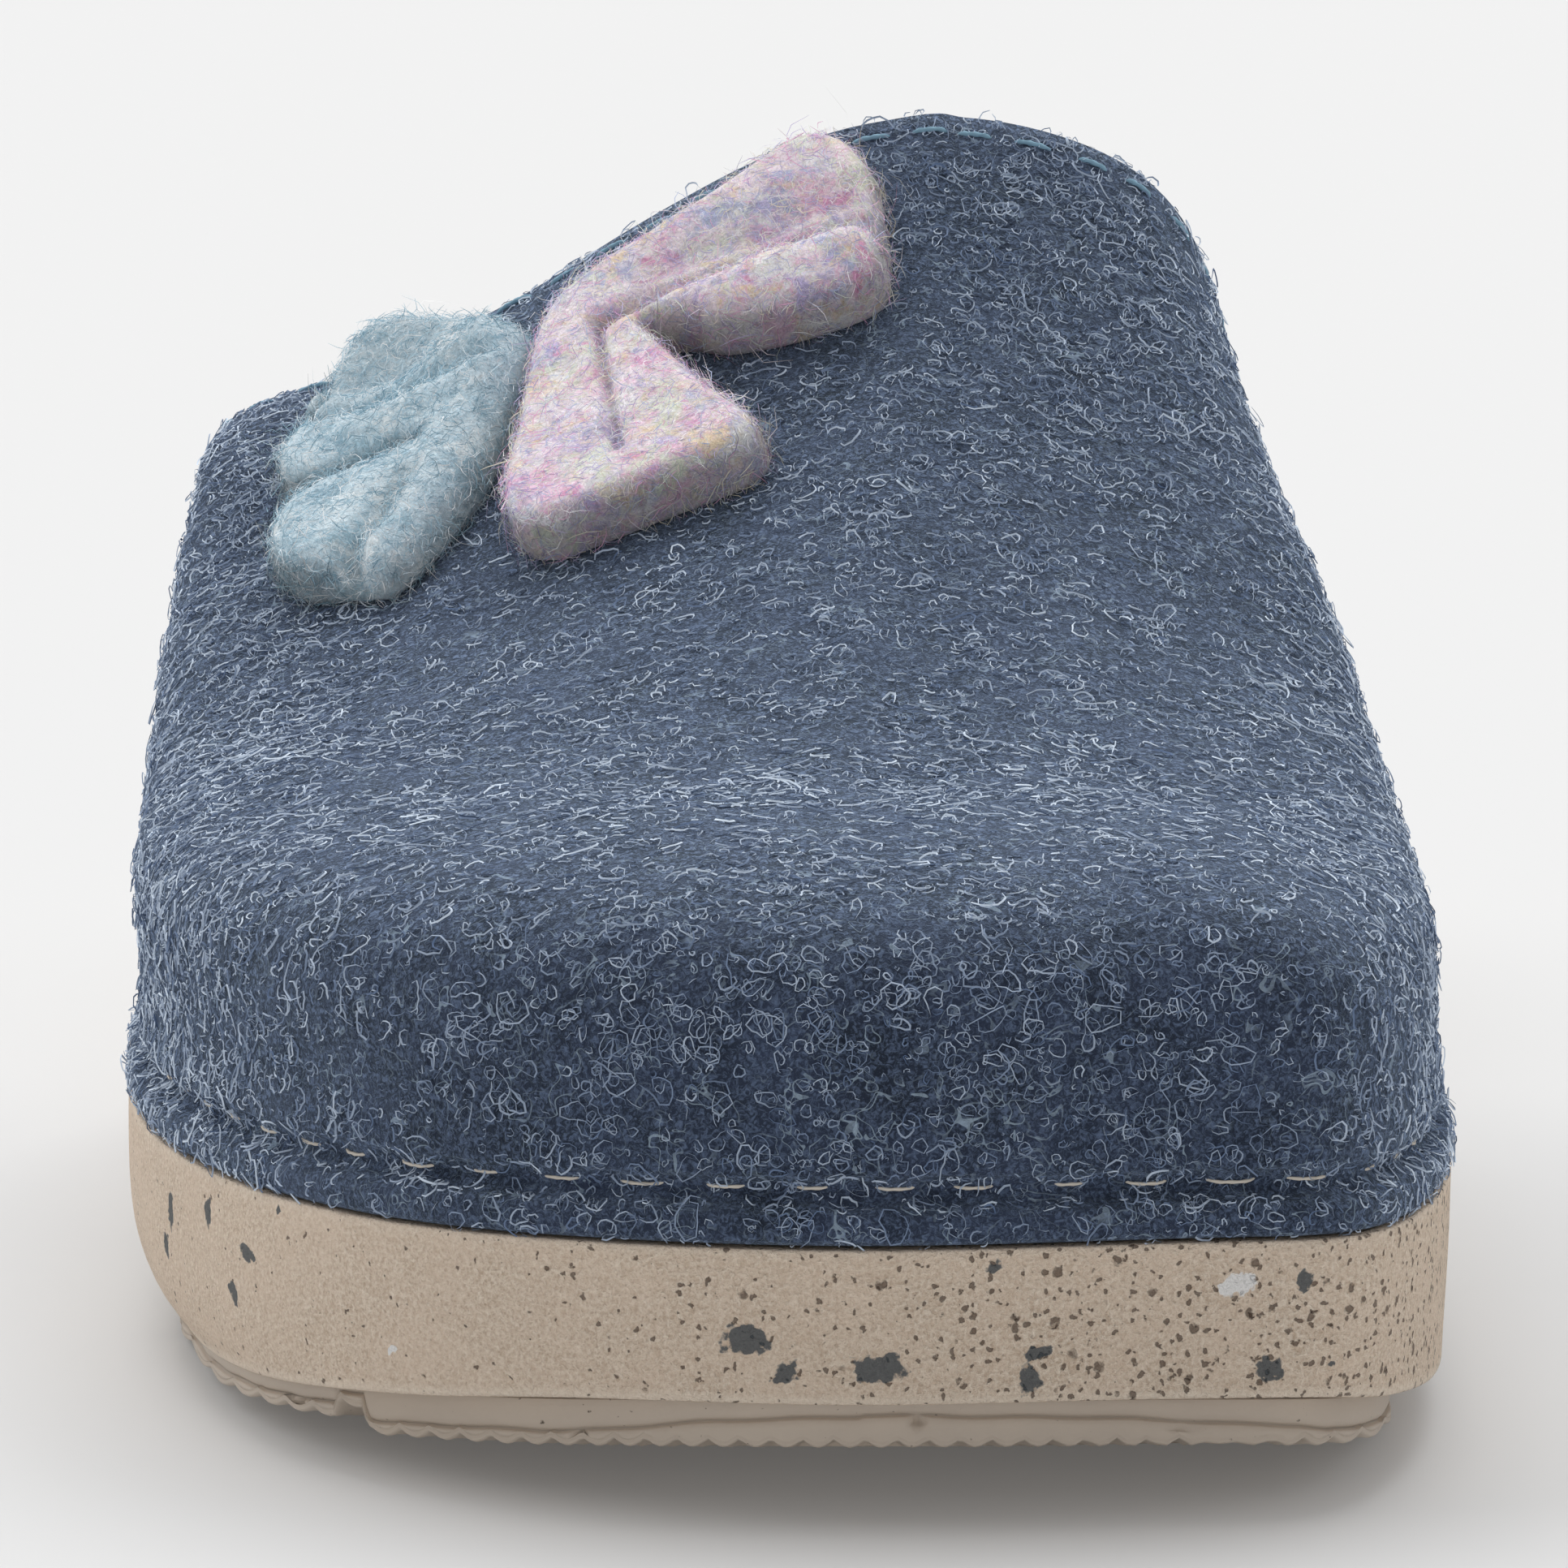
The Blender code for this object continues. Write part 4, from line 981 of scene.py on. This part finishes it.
def stitches(line, normals, seam, draw, steps=13, sides=8):
    """Bows of two-ply thread at an even pitch along a line: a tube whose radius waves with its twist, and
    whose path sinks at both ends by the fourth power of its place in the stitch."""
    run = run_along(line)
    middles = np.arange(seam.pitch / 2, run[-1], seam.pitch)
    middles = middles + draw.normal(0, 0.25, len(middles))
    t = np.linspace(-1, 1, steps)
    at = middles[:, None] + seam.stitch / 2 * t * draw.uniform(0.8, 1.1, (len(middles), 1))
    path, out = (np.stack([np.interp(at, run, values[:, k]) for k in range(3)], axis=2)
                 for values in (line, normals))
    out = unit(out)
    sunk = draw.uniform(-0.12, 0.1, (len(middles), 1))
    path = path + out * (seam.radius * 0.9 + sunk - STITCH_ENDS_IN * t ** 4)[..., None]
    aside = np.cross(unit(np.gradient(path, axis=1)), out)
    angle = np.linspace(0, 2 * math.pi, sides, endpoint=False)
    twist = 1 + PLY_TWIST * np.cos(2 * angle - 2 * math.pi * at[..., None] / PLY_PITCH)
    radius = seam.radius * twist[..., None]
    tube = path[:, :, None] + radius * (aside[:, :, None] * np.cos(angle)[:, None]
                                        + out[:, :, None] * np.sin(angle)[:, None])
    number = np.arange(tube[..., 0].size).reshape(len(middles), steps, sides)
    number = np.concatenate([number, number[..., :1]], axis=2)
    corners = [number[:, :-1, :-1], number[:, :-1, 1:], number[:, 1:, 1:], number[:, 1:, :-1]]
    return tube.reshape(-1, 3), np.stack(corners, axis=-1).reshape(-1, 4)


outer_normals = face_normals(outer_face)
lines = (seam_line(outer_face, outer_normals, SEAM_HEIGHT),
         collar_line(outer_face, outer_normals, COLLAR_SEAM_IN))
for seam, (line, normals) in zip(SEAMS, lines):
    points, faces = stitches(line, normals, seam, draw)
    tint = np.tile(linear(seam.colour), (len(points), 1))
    sewn = add_piece(seam.name, points, faces, solid=False, tint=tint)
    sewn.data.materials.append(wool)
    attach(sewn, "root")

# Felt wings: two strips of thick felt, one pink and one teal, each pinched in its middle so that it folds
# into a front and a back wing, and sewn on the instep through the knot. Their cut edges are rounded.
WING_THICKNESS = 4.8
WING_ROWS = 100
WING_COLUMNS = 60
WING_WALL_ROWS = 6
WING_EDGE_LEAST, WING_LEAST = 1.2, 0.8
WING_WALL_SWELL = 0.3
WING_LUMPS, WING_LUMP_ACROSS, WING_LUMP_ALONG = 0.12, 1.1, 1.3
# Painted shade on the wings: darker round the rounded rim of the top, along the folds, and all over the cut
# edges.
RIM_SHADE, RIM_SHADE_WIDTH, FOLD_SHADE_MOST = 0.6, 0.8, 1.3
BED_MIDDLE, BED_REACH = (4.0, -13.0, -4.0), (26.0, 27.0, 14.0)
BED_DEGREE, BED_UNIT = 5, 30.0
HAIR_WIDTH = 0.055
# A kind of hair: where it grows, how many, how far it reaches, and its shade, the painted shade that darkens
# the tints of the hairs on the cut edge.
HairKind = namedtuple("HairKind", "place count reach shade")
WING_HAIRS = (HairKind("top", 8600, 1.0, 1.0), HairKind("cut edge", 3400, 1.4, 0.55))
Rung = namedtuple("Rung", "outer_x outer_y gap_x gap_y")
# A fold: a path of points with their rise, its width, and its shade, the painted shade that darkens the felt
# along it; a fold that does not rise is painted shade alone.
Fold = namedtuple("Fold", "path width shade")
FoldPoint = namedtuple("FoldPoint", "x y rise")
Heather = namedtuple("Heather", "base patches hairs")
Wings = namedtuple("Wings", "name node anchor normal outer_round gap_round rungs folds heather")
PINK_FELT = Heather("#fff0f7", ("#f3a8d3", "#cfc3ec", "#c0c9e6", "#fae3bf", "#fcd6ea", "#eef5e0", "#ffffff"),
                    ("#fff8fe", "#ffffff", "#f5c0e0", "#d6ccf2", "#c4d0ee", "#faf2dc", "#edf5e6", "#c4b8dc"))
TEAL_FELT = Heather("#d2e7f2", ("#b4d4e3", "#a3c4d5", "#e2f2fa", "#f4fcff"),
                    ("#cce2ec", "#f2faff", "#9cbccc", "#b4d2e0", "#ffffff", "#8aaaba"))
WING_PAIRS = (
    Wings("pink_wings", "applique_pink", (-14.0, 118.8, 70.1), (-0.32, -0.41, 0.855), 1.6, 1.5, (
        Rung(-2.0, -35.2, 8.4, -31.8),
        Rung(-4.4, -33.8, 11.6, -30.6),
        Rung(-5.7, -30.6, 13.7, -28.8),
        Rung(-6.0, -26.0, 13.8, -26.2),
        Rung(-5.3, -19.0, 10.9, -21.2),
        Rung(-4.8, -12.8, 8.6, -16.8),
        Rung(-4.2, -7.4, 6.6, -12.8),
        Rung(-3.0, -3.4, 5.0, -9.4),
        Rung(-0.7, -0.9, 6.0, -8.6),
        Rung(2.8, 1.2, 8.3, -9.2),
        Rung(7.0, 2.9, 11.0, -10.8),
        Rung(12.2, 5.3, 14.8, -11.2),
        Rung(16.2, 7.8, 18.0, -10.8),
        Rung(19.8, 9.0, 21.2, -9.8),
        Rung(22.5, 7.6, 23.2, -8.4),
        Rung(24.1, 4.4, 24.1, -6.4),
    ), (
        Fold((FoldPoint(1.9, -7.9, -3.4), FoldPoint(5.5, -6.3, -2.8), FoldPoint(9.8, -6.0, -2.6),
              FoldPoint(14.6, -4.7, -3.4), FoldPoint(18.2, -3.7, -2.4), FoldPoint(22.8, -2.6, -2.6),
              FoldPoint(24.6, -2.2, -3.8)), 0.9, 1.2),
        Fold((FoldPoint(1.5, -9.4, -1.5), FoldPoint(2.1, -14.7, -0.8), FoldPoint(2.9, -21.5, -0.7),
              FoldPoint(3.5, -27.6, -1.5)), 0.5, 0.9),
        Fold((FoldPoint(9.0, -8.8, 0.5), FoldPoint(15.0, -8.0, 1.0), FoldPoint(22.0, -5.8, 0.8)), 2.0, 0.0),
        Fold((FoldPoint(6.0, -3.6, -0.9), FoldPoint(14.0, -1.6, -1.6), FoldPoint(21.5, 0.2, -1.2)), 2.8, 0.4),
    ), PINK_FELT),
    Wings("teal_wings", "applique_teal", (-25.2, 122.3, 65.2), (-0.355, -0.333, 0.873), 4.2, 1.6, (
        Rung(-4.5, -34.6, -11.2, -31.4),
        Rung(-2.6, -32.4, -13.1, -28.6),
        Rung(-0.6, -28.6, -13.6, -24.8),
        Rung(1.8, -23.4, -12.6, -20.8),
        Rung(3.6, -19.0, -10.6, -19.0),
        Rung(5.2, -14.6, -6.8, -17.4),
        Rung(7.2, -8.4, -2.4, -16.0),
        Rung(7.4, -4.6, -3.6, -15.4),
        Rung(5.4, -1.6, -6.6, -16.2),
        Rung(2.6, 1.4, -9.8, -17.0),
        Rung(-0.6, 4.4, -12.4, -16.4),
        Rung(-3.6, 6.6, -13.6, -13.4),
        Rung(-6.6, 6.8, -12.8, -9.4),
        Rung(-9.0, 4.4, -10.4, -4.4),
    ), (
        Fold((FoldPoint(3.4, -7.8, -3.6), FoldPoint(-1.0, -8.2, -3.4), FoldPoint(-5.5, -8.8, -3.0),
              FoldPoint(-10.8, -7.8, -2.4)), 1.1, 0.9),
        Fold((FoldPoint(4.3, -3.6, 0.6), FoldPoint(3.4, -10.4, 0.9), FoldPoint(-1.0, -12.0, 0.8),
              FoldPoint(-7.0, -12.6, 0.6)), 1.6, 0.0),
        Fold((FoldPoint(-1.8, -1.4, -1.4), FoldPoint(-4.2, -3.4, -2.2), FoldPoint(-6.4, -4.6, -1.6)),
             3.0, 0.4),
        Fold((FoldPoint(0.5, -1.0, 0.0), FoldPoint(-3.5, 2.0, 0.0), FoldPoint(-8.0, -1.5, 0.0)), 6.5, 0.45),
        Fold((FoldPoint(-2.4, -22.0, -0.5), FoldPoint(-4.4, -27.6, -1.4), FoldPoint(-6.8, -31.6, -2.4),
              FoldPoint(-7.6, -34.6, -3.2)), 1.2, 0.7),
    ), TEAL_FELT),
)


def through(points, count):
    """Points along a smooth open curve through the given ones: Catmull-Rom cubics at even parameters."""
    points = np.asarray(points, float)
    padded = np.concatenate([2 * points[:1] - points[1:2], points, 2 * points[-1:] - points[-2:-1]])
    at = np.linspace(0, len(points) - 1, count)
    row = np.minimum(at.astype(int), len(points) - 2)
    t = (at - row)[:, None]
    a, b, c, d = (padded[row + k] for k in range(4))
    bend, twist = a - 2.5 * b + 2 * c - d / 2, 1.5 * (b - c) + (d - a) / 2
    return b + (c - a) / 2 * t + bend * t * t + twist * t ** 3


def path_distance(spots, path):
    """Distance of each spot from a path of straight pieces, and where along the path it is nearest, in
    pieces from its start."""
    start, step = path[:-1], np.diff(path, axis=0)
    share = np.sum((spots[..., None, :] - start) * step, axis=-1)
    share = np.clip(share / np.maximum(np.sum(step * step, axis=1), 1e-9), 0, 1)
    away = np.linalg.norm(spots[..., None, :] - start - share[..., None] * step, axis=-1)
    piece = np.argmin(away, axis=-1)
    nearest = np.take_along_axis(share, piece[..., None], axis=-1)[..., 0]
    return away.min(axis=-1), piece + nearest


def felt_bed(anchor, axes):
    """Height of the upper's face over a wing's own plane: a polynomial fitted by least squares to the
    face's points round the wing."""
    local = (outer_face.reshape(-1, 3) - anchor) @ axes.T
    x, y, z = local[np.all(np.abs(local - BED_MIDDLE) < BED_REACH, axis=1)].T
    powers = [(i, j) for i in range(BED_DEGREE + 1) for j in range(BED_DEGREE + 1 - i)]
    terms = np.stack([(x / BED_UNIT) ** i * (y / BED_UNIT) ** j for i, j in powers], axis=1)
    fit = np.linalg.lstsq(terms, z, rcond=None)[0]
    return lambda spots: sum(c * (spots[..., 0] / BED_UNIT) ** i * (spots[..., 1] / BED_UNIT) ** j
                             for c, (i, j) in zip(fit, powers))


def border(sheet):
    """The points round a grid's edge, back to the first one."""
    return np.concatenate([sheet[:, 0], sheet[-1, 1:], sheet[-2::-1, -1], sheet[0, -2:0:-1], sheet[:1, 0]])


def heather_material(name, heather):
    """Carded wool felt: fibres of several dyes in soft patches, one noise to a dye, under a fine nap."""
    material, tree, shader = new_material(name)
    place = add_node(tree, "TexCoord", {}, "Object")
    layers = []
    for number, patch in enumerate(heather.patches):
        moved = add_node(tree, "Mapping", {"Vector": place, "Location": (0.17 * number, 0, 0.05)})
        spread = add_node(tree, "TexNoise", {"Vector": moved, "Scale": 1 / (5 * MM), "Detail": 5.0,
                                             "Roughness": 0.7, "Distortion": 0.5})
        share = add_node(tree, "MapRange", {"Value": spread, "From Min": 0.52, "From Max": 0.61,
                                            "To Max": 0.92})
        layers.append((share, patch))
    colour = layer_colours(tree, linear(heather.base), layers)
    nap = add_node(tree, "TexNoise", {"Vector": place, "Scale": 1 / (0.35 * MM), "Detail": 3.0,
                                      "Roughness": 0.7, "Distortion": 1.5})
    shade = add_node(tree, "MapRange", {"Value": nap, "From Min": 0.3, "From Max": 0.7, "To Min": 0.72,
                                        "To Max": 1.28})
    # The colour is darkened by the attribute of painted shade: on the cut edges, round the top's rim and
    # along the folds.
    dim = add_node(tree, "Attribute", {}, "Fac", attribute_name="cut")
    dim = add_node(tree, "Math", {0: dim, 1: -0.5, 2: 1.0}, operation="MULTIPLY_ADD")
    shade = add_node(tree, "Math", {0: shade, 1: dim}, operation="MULTIPLY")
    colour = add_node(tree, "VectorMath", {0: colour, 1: shade}, operation="MULTIPLY")
    relief = add_node(tree, "Bump", {"Height": nap, "Distance": 0.4 * MM, "Strength": 0.6})
    feed(shader, {"Base Color": colour, "Normal": relief, "Roughness": 0.95, "Specular IOR Level": 0.1,
                  "Sheen Weight": 0.6, "Sheen Roughness": 0.5})
    return material


def hair_paths(origin, first, second, normal, reach, draw, steps=4):
    """Short hairs that leave the felt leaning over it and bend aside."""
    count = len(origin)
    t = np.linspace(0, 1, steps)
    turn = draw.uniform(0, 2 * math.pi, count)[:, None] + draw.normal(0, 1.1, count)[:, None] * t
    length = reach * np.exp(draw.normal(0, 0.4, count))[:, None]
    rise = draw.uniform(0.1, 0.8, count)[:, None] * np.sin(math.pi / 2 * t) * length * 0.6 - 0.05
    return (origin[:, None] + first[:, None] * (length * t * np.cos(turn))[..., None]
            + second[:, None] * (length * t * np.sin(turn))[..., None] + normal[:, None] * rise[..., None])


for pair in WING_PAIRS:
    up = unit(np.array(pair.normal))
    right = unit(np.array((1.0, 0.0, 0.0)) - up * up[0])
    axes = np.stack([right, np.cross(up, right), up])
    bed = felt_bed(np.array(pair.anchor), axes)
    rungs = through(np.array(pair.rungs), WING_ROWS)
    share = (1 - np.cos(np.linspace(0, math.pi, WING_COLUMNS)))[None, :, None] / 2
    plan = rungs[:, None, :2] * (1 - share) + rungs[:, None, 2:] * share
    outline = border(plan)
    depth, _ = path_distance(plan, outline)
    round_in = pair.outer_round + (pair.gap_round - pair.outer_round) * share[..., 0]
    drop = np.minimum(round_in, WING_THICKNESS - WING_EDGE_LEAST)
    body = WING_THICKNESS - drop * (1 - np.sqrt(1 - (1 - np.minimum(depth / round_in, 1)) ** 2))
    fold_shade = np.zeros(plan.shape[:2])
    for fold in pair.folds:
        path = np.array(fold.path)
        away, along = path_distance(plan, path[:, :2])
        hollow = np.exp(-(away / fold.width) ** 2)
        body = body + np.interp(along, np.arange(len(path)), path[:, 2]) * hollow
        fold_shade = np.maximum(fold_shade, fold.shade * hollow)
    lumps = np.sin(plan[..., 0] / WING_LUMP_ACROSS) * np.sin(plan[..., 1] / WING_LUMP_ALONG)
    body += WING_LUMPS * lumps * np.minimum(depth, 1)
    floor_height = bed(plan) + SEAT_GAP
    top_sheet, low_sheet = (np.array(pair.anchor) + np.concatenate([plan, height[..., None]], axis=2) @ axes
                            for height in (floor_height + np.maximum(body, WING_LEAST), floor_height))
    rise = np.linspace(0, 1, WING_WALL_ROWS)[:, None, None]
    wall = border(top_sheet) * (1 - rise) + border(low_sheet) * rise
    loop = wall[0, :-1]
    outward = unit(np.cross(np.roll(loop, -1, axis=0) - np.roll(loop, 1, axis=0), up))
    outward = np.append(outward, outward[:1], axis=0) * np.sign(np.sum(np.cross(outline[:-1], outline[1:])))
    wall = wall + outward * WING_WALL_SWELL * np.sin(math.pi * rise)
    points, faces = join_sheets([top_sheet, low_sheet, wall])
    # Painted shade as a vertex attribute: the top's rim and the folds are darkened, and the cut edges fully.
    wear_and_shade = np.maximum(RIM_SHADE * (1 - np.minimum(depth / RIM_SHADE_WIDTH, 1)), np.minimum(fold_shade, FOLD_SHADE_MOST))
    cut = np.append(wear_and_shade, np.ones(len(points) - wear_and_shade.size))
    felt = add_piece(pair.name, points, faces, cut=cut)
    felt.data.materials.append(heather_material(pair.name + "_heather_felt", pair.heather))
    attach(felt, "root")
    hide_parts(pair.node)
    hair_sets = []
    sheets = ((top_sheet, up), (wall.transpose(1, 0, 2), outward[:-1, None]))
    for kind, (sheet, away) in zip(WING_HAIRS, sheets):
        facing = np.cross(np.diff(sheet, axis=0)[:, :-1], np.diff(sheet, axis=1)[:-1])
        if np.sum(facing * away) < 0:
            sheet = sheet[:, ::-1]
        origin, first, second, normal = scatter(sheet, kind.count, draw, np.ones(sheet.shape[:2]))
        hair_sets.append((hair_paths(origin, first, second, normal, kind.reach, draw), normal))
    paths, normals = (np.concatenate(parts) for parts in zip(*hair_sets))
    points, faces = ribbons(paths, normals, HAIR_WIDTH * draw.uniform(0.7, 1.3, len(paths)), draw)
    dyes = np.array([linear(dye) for dye in pair.heather.hairs])
    tint = dyes[draw.integers(0, len(dyes), len(paths))]
    # Painted shade: the hairs on the cut edge have their tints darkened.
    shades = np.repeat([kind.shade for kind in WING_HAIRS], [kind.count for kind in WING_HAIRS])
    tint[:, :3] *= shades[:, None]
    hairs = add_piece(pair.name + "_hairs", points, faces, solid=False,
                      tint=np.repeat(tint, 2 * paths.shape[1], axis=0))
    hairs.data.materials.append(wool)
    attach(hairs, "root")

# Floor and studio light: a pale sheet under the shoe in a white room, broad soft boxes over it, behind it
# and to both sides, and a white card low in front.
FLOOR_COLOUR, FLOOR_REACH, FLOOR_GLOW = "#cfcfcf", 9.0, 0.07
WHITE = (1.0, 1.0, 1.0, 1.0)
ROOM_GLOW = 0.31
Lamp = namedtuple("Lamp", "name energy spread tilt_back tilt_aside")
LAMPS = (
    Lamp("overhead_softbox", 1.65, 50, -25, 0),
    Lamp("back_softbox", 0.5, 50, -50, 0),
    Lamp("front_card", 0.36, 30, 80, 0),
    Lamp("left_softbox", 1.25, 60, -20, -46),
    Lamp("right_softbox", 0.7, 60, -20, 46),
)

floor_mesh = bpy.data.meshes.new("floor")
corners = [(x * FLOOR_REACH, y * FLOOR_REACH, 0) for x, y in ((-1, -1), (1, -1), (1, 1), (-1, 1))]
floor_mesh.from_pydata(corners, [], [(0, 1, 2, 3)])
floor = bpy.data.objects.new("floor", floor_mesh)
bpy.context.scene.collection.objects.link(floor)

# Matt paper: no gloss, and a faint glow that keeps it pale under the soft light.
paper, _, shader = new_material("matt_paper")
feed(shader, {"Base Color": linear(FLOOR_COLOUR), "Roughness": 1.0, "Specular IOR Level": 0.0,
              "Emission Color": WHITE, "Emission Strength": FLOOR_GLOW})
floor_mesh.materials.append(paper)

room = bpy.data.worlds.new("white_room")
room.use_nodes = True
feed(room.node_tree.nodes["Background"], {"Color": WHITE, "Strength": ROOM_GLOW})
bpy.context.scene.world = room
for softbox in LAMPS:
    lamp_data = bpy.data.lights.new(softbox.name, "SUN")
    lamp_data.energy = softbox.energy
    lamp_data.angle = math.radians(softbox.spread)
    lamp = bpy.data.objects.new(softbox.name, lamp_data)
    lamp.rotation_euler = (math.radians(softbox.tilt_back), math.radians(softbox.tilt_aside), 0)
    bpy.context.scene.collection.objects.link(lamp)

# Camera: a long lens in front of the toe, a little above it, as the photograph was taken.
CAMERA_BEFORE_TOE = 480.0
CAMERA_HEIGHT = 120.6
CAMERA_ASIDE = 0.9
CAMERA_DOWN = 8.39
FOCAL_PIXELS = 9200
FRAME_PIXELS = 1932
SENSOR_WIDTH = 36.0
CLIP_END = 50.0
camera_data = bpy.data.cameras.new("camera")
camera_data.sensor_width = SENSOR_WIDTH
camera_data.lens = SENSOR_WIDTH * FOCAL_PIXELS / FRAME_PIXELS
camera_data.clip_end = CLIP_END
camera = bpy.data.objects.new("camera", camera_data)
camera.location = (CAMERA_ASIDE * MM, (-CAMERA_BEFORE_TOE - SOLE_LENGTH / 2) * MM, CAMERA_HEIGHT * MM)
camera.rotation_euler = (math.radians(90 - CAMERA_DOWN), 0, 0)
bpy.context.scene.collection.objects.link(camera)
bpy.context.scene.camera = camera
bpy.context.scene.view_settings.view_transform = "Standard"
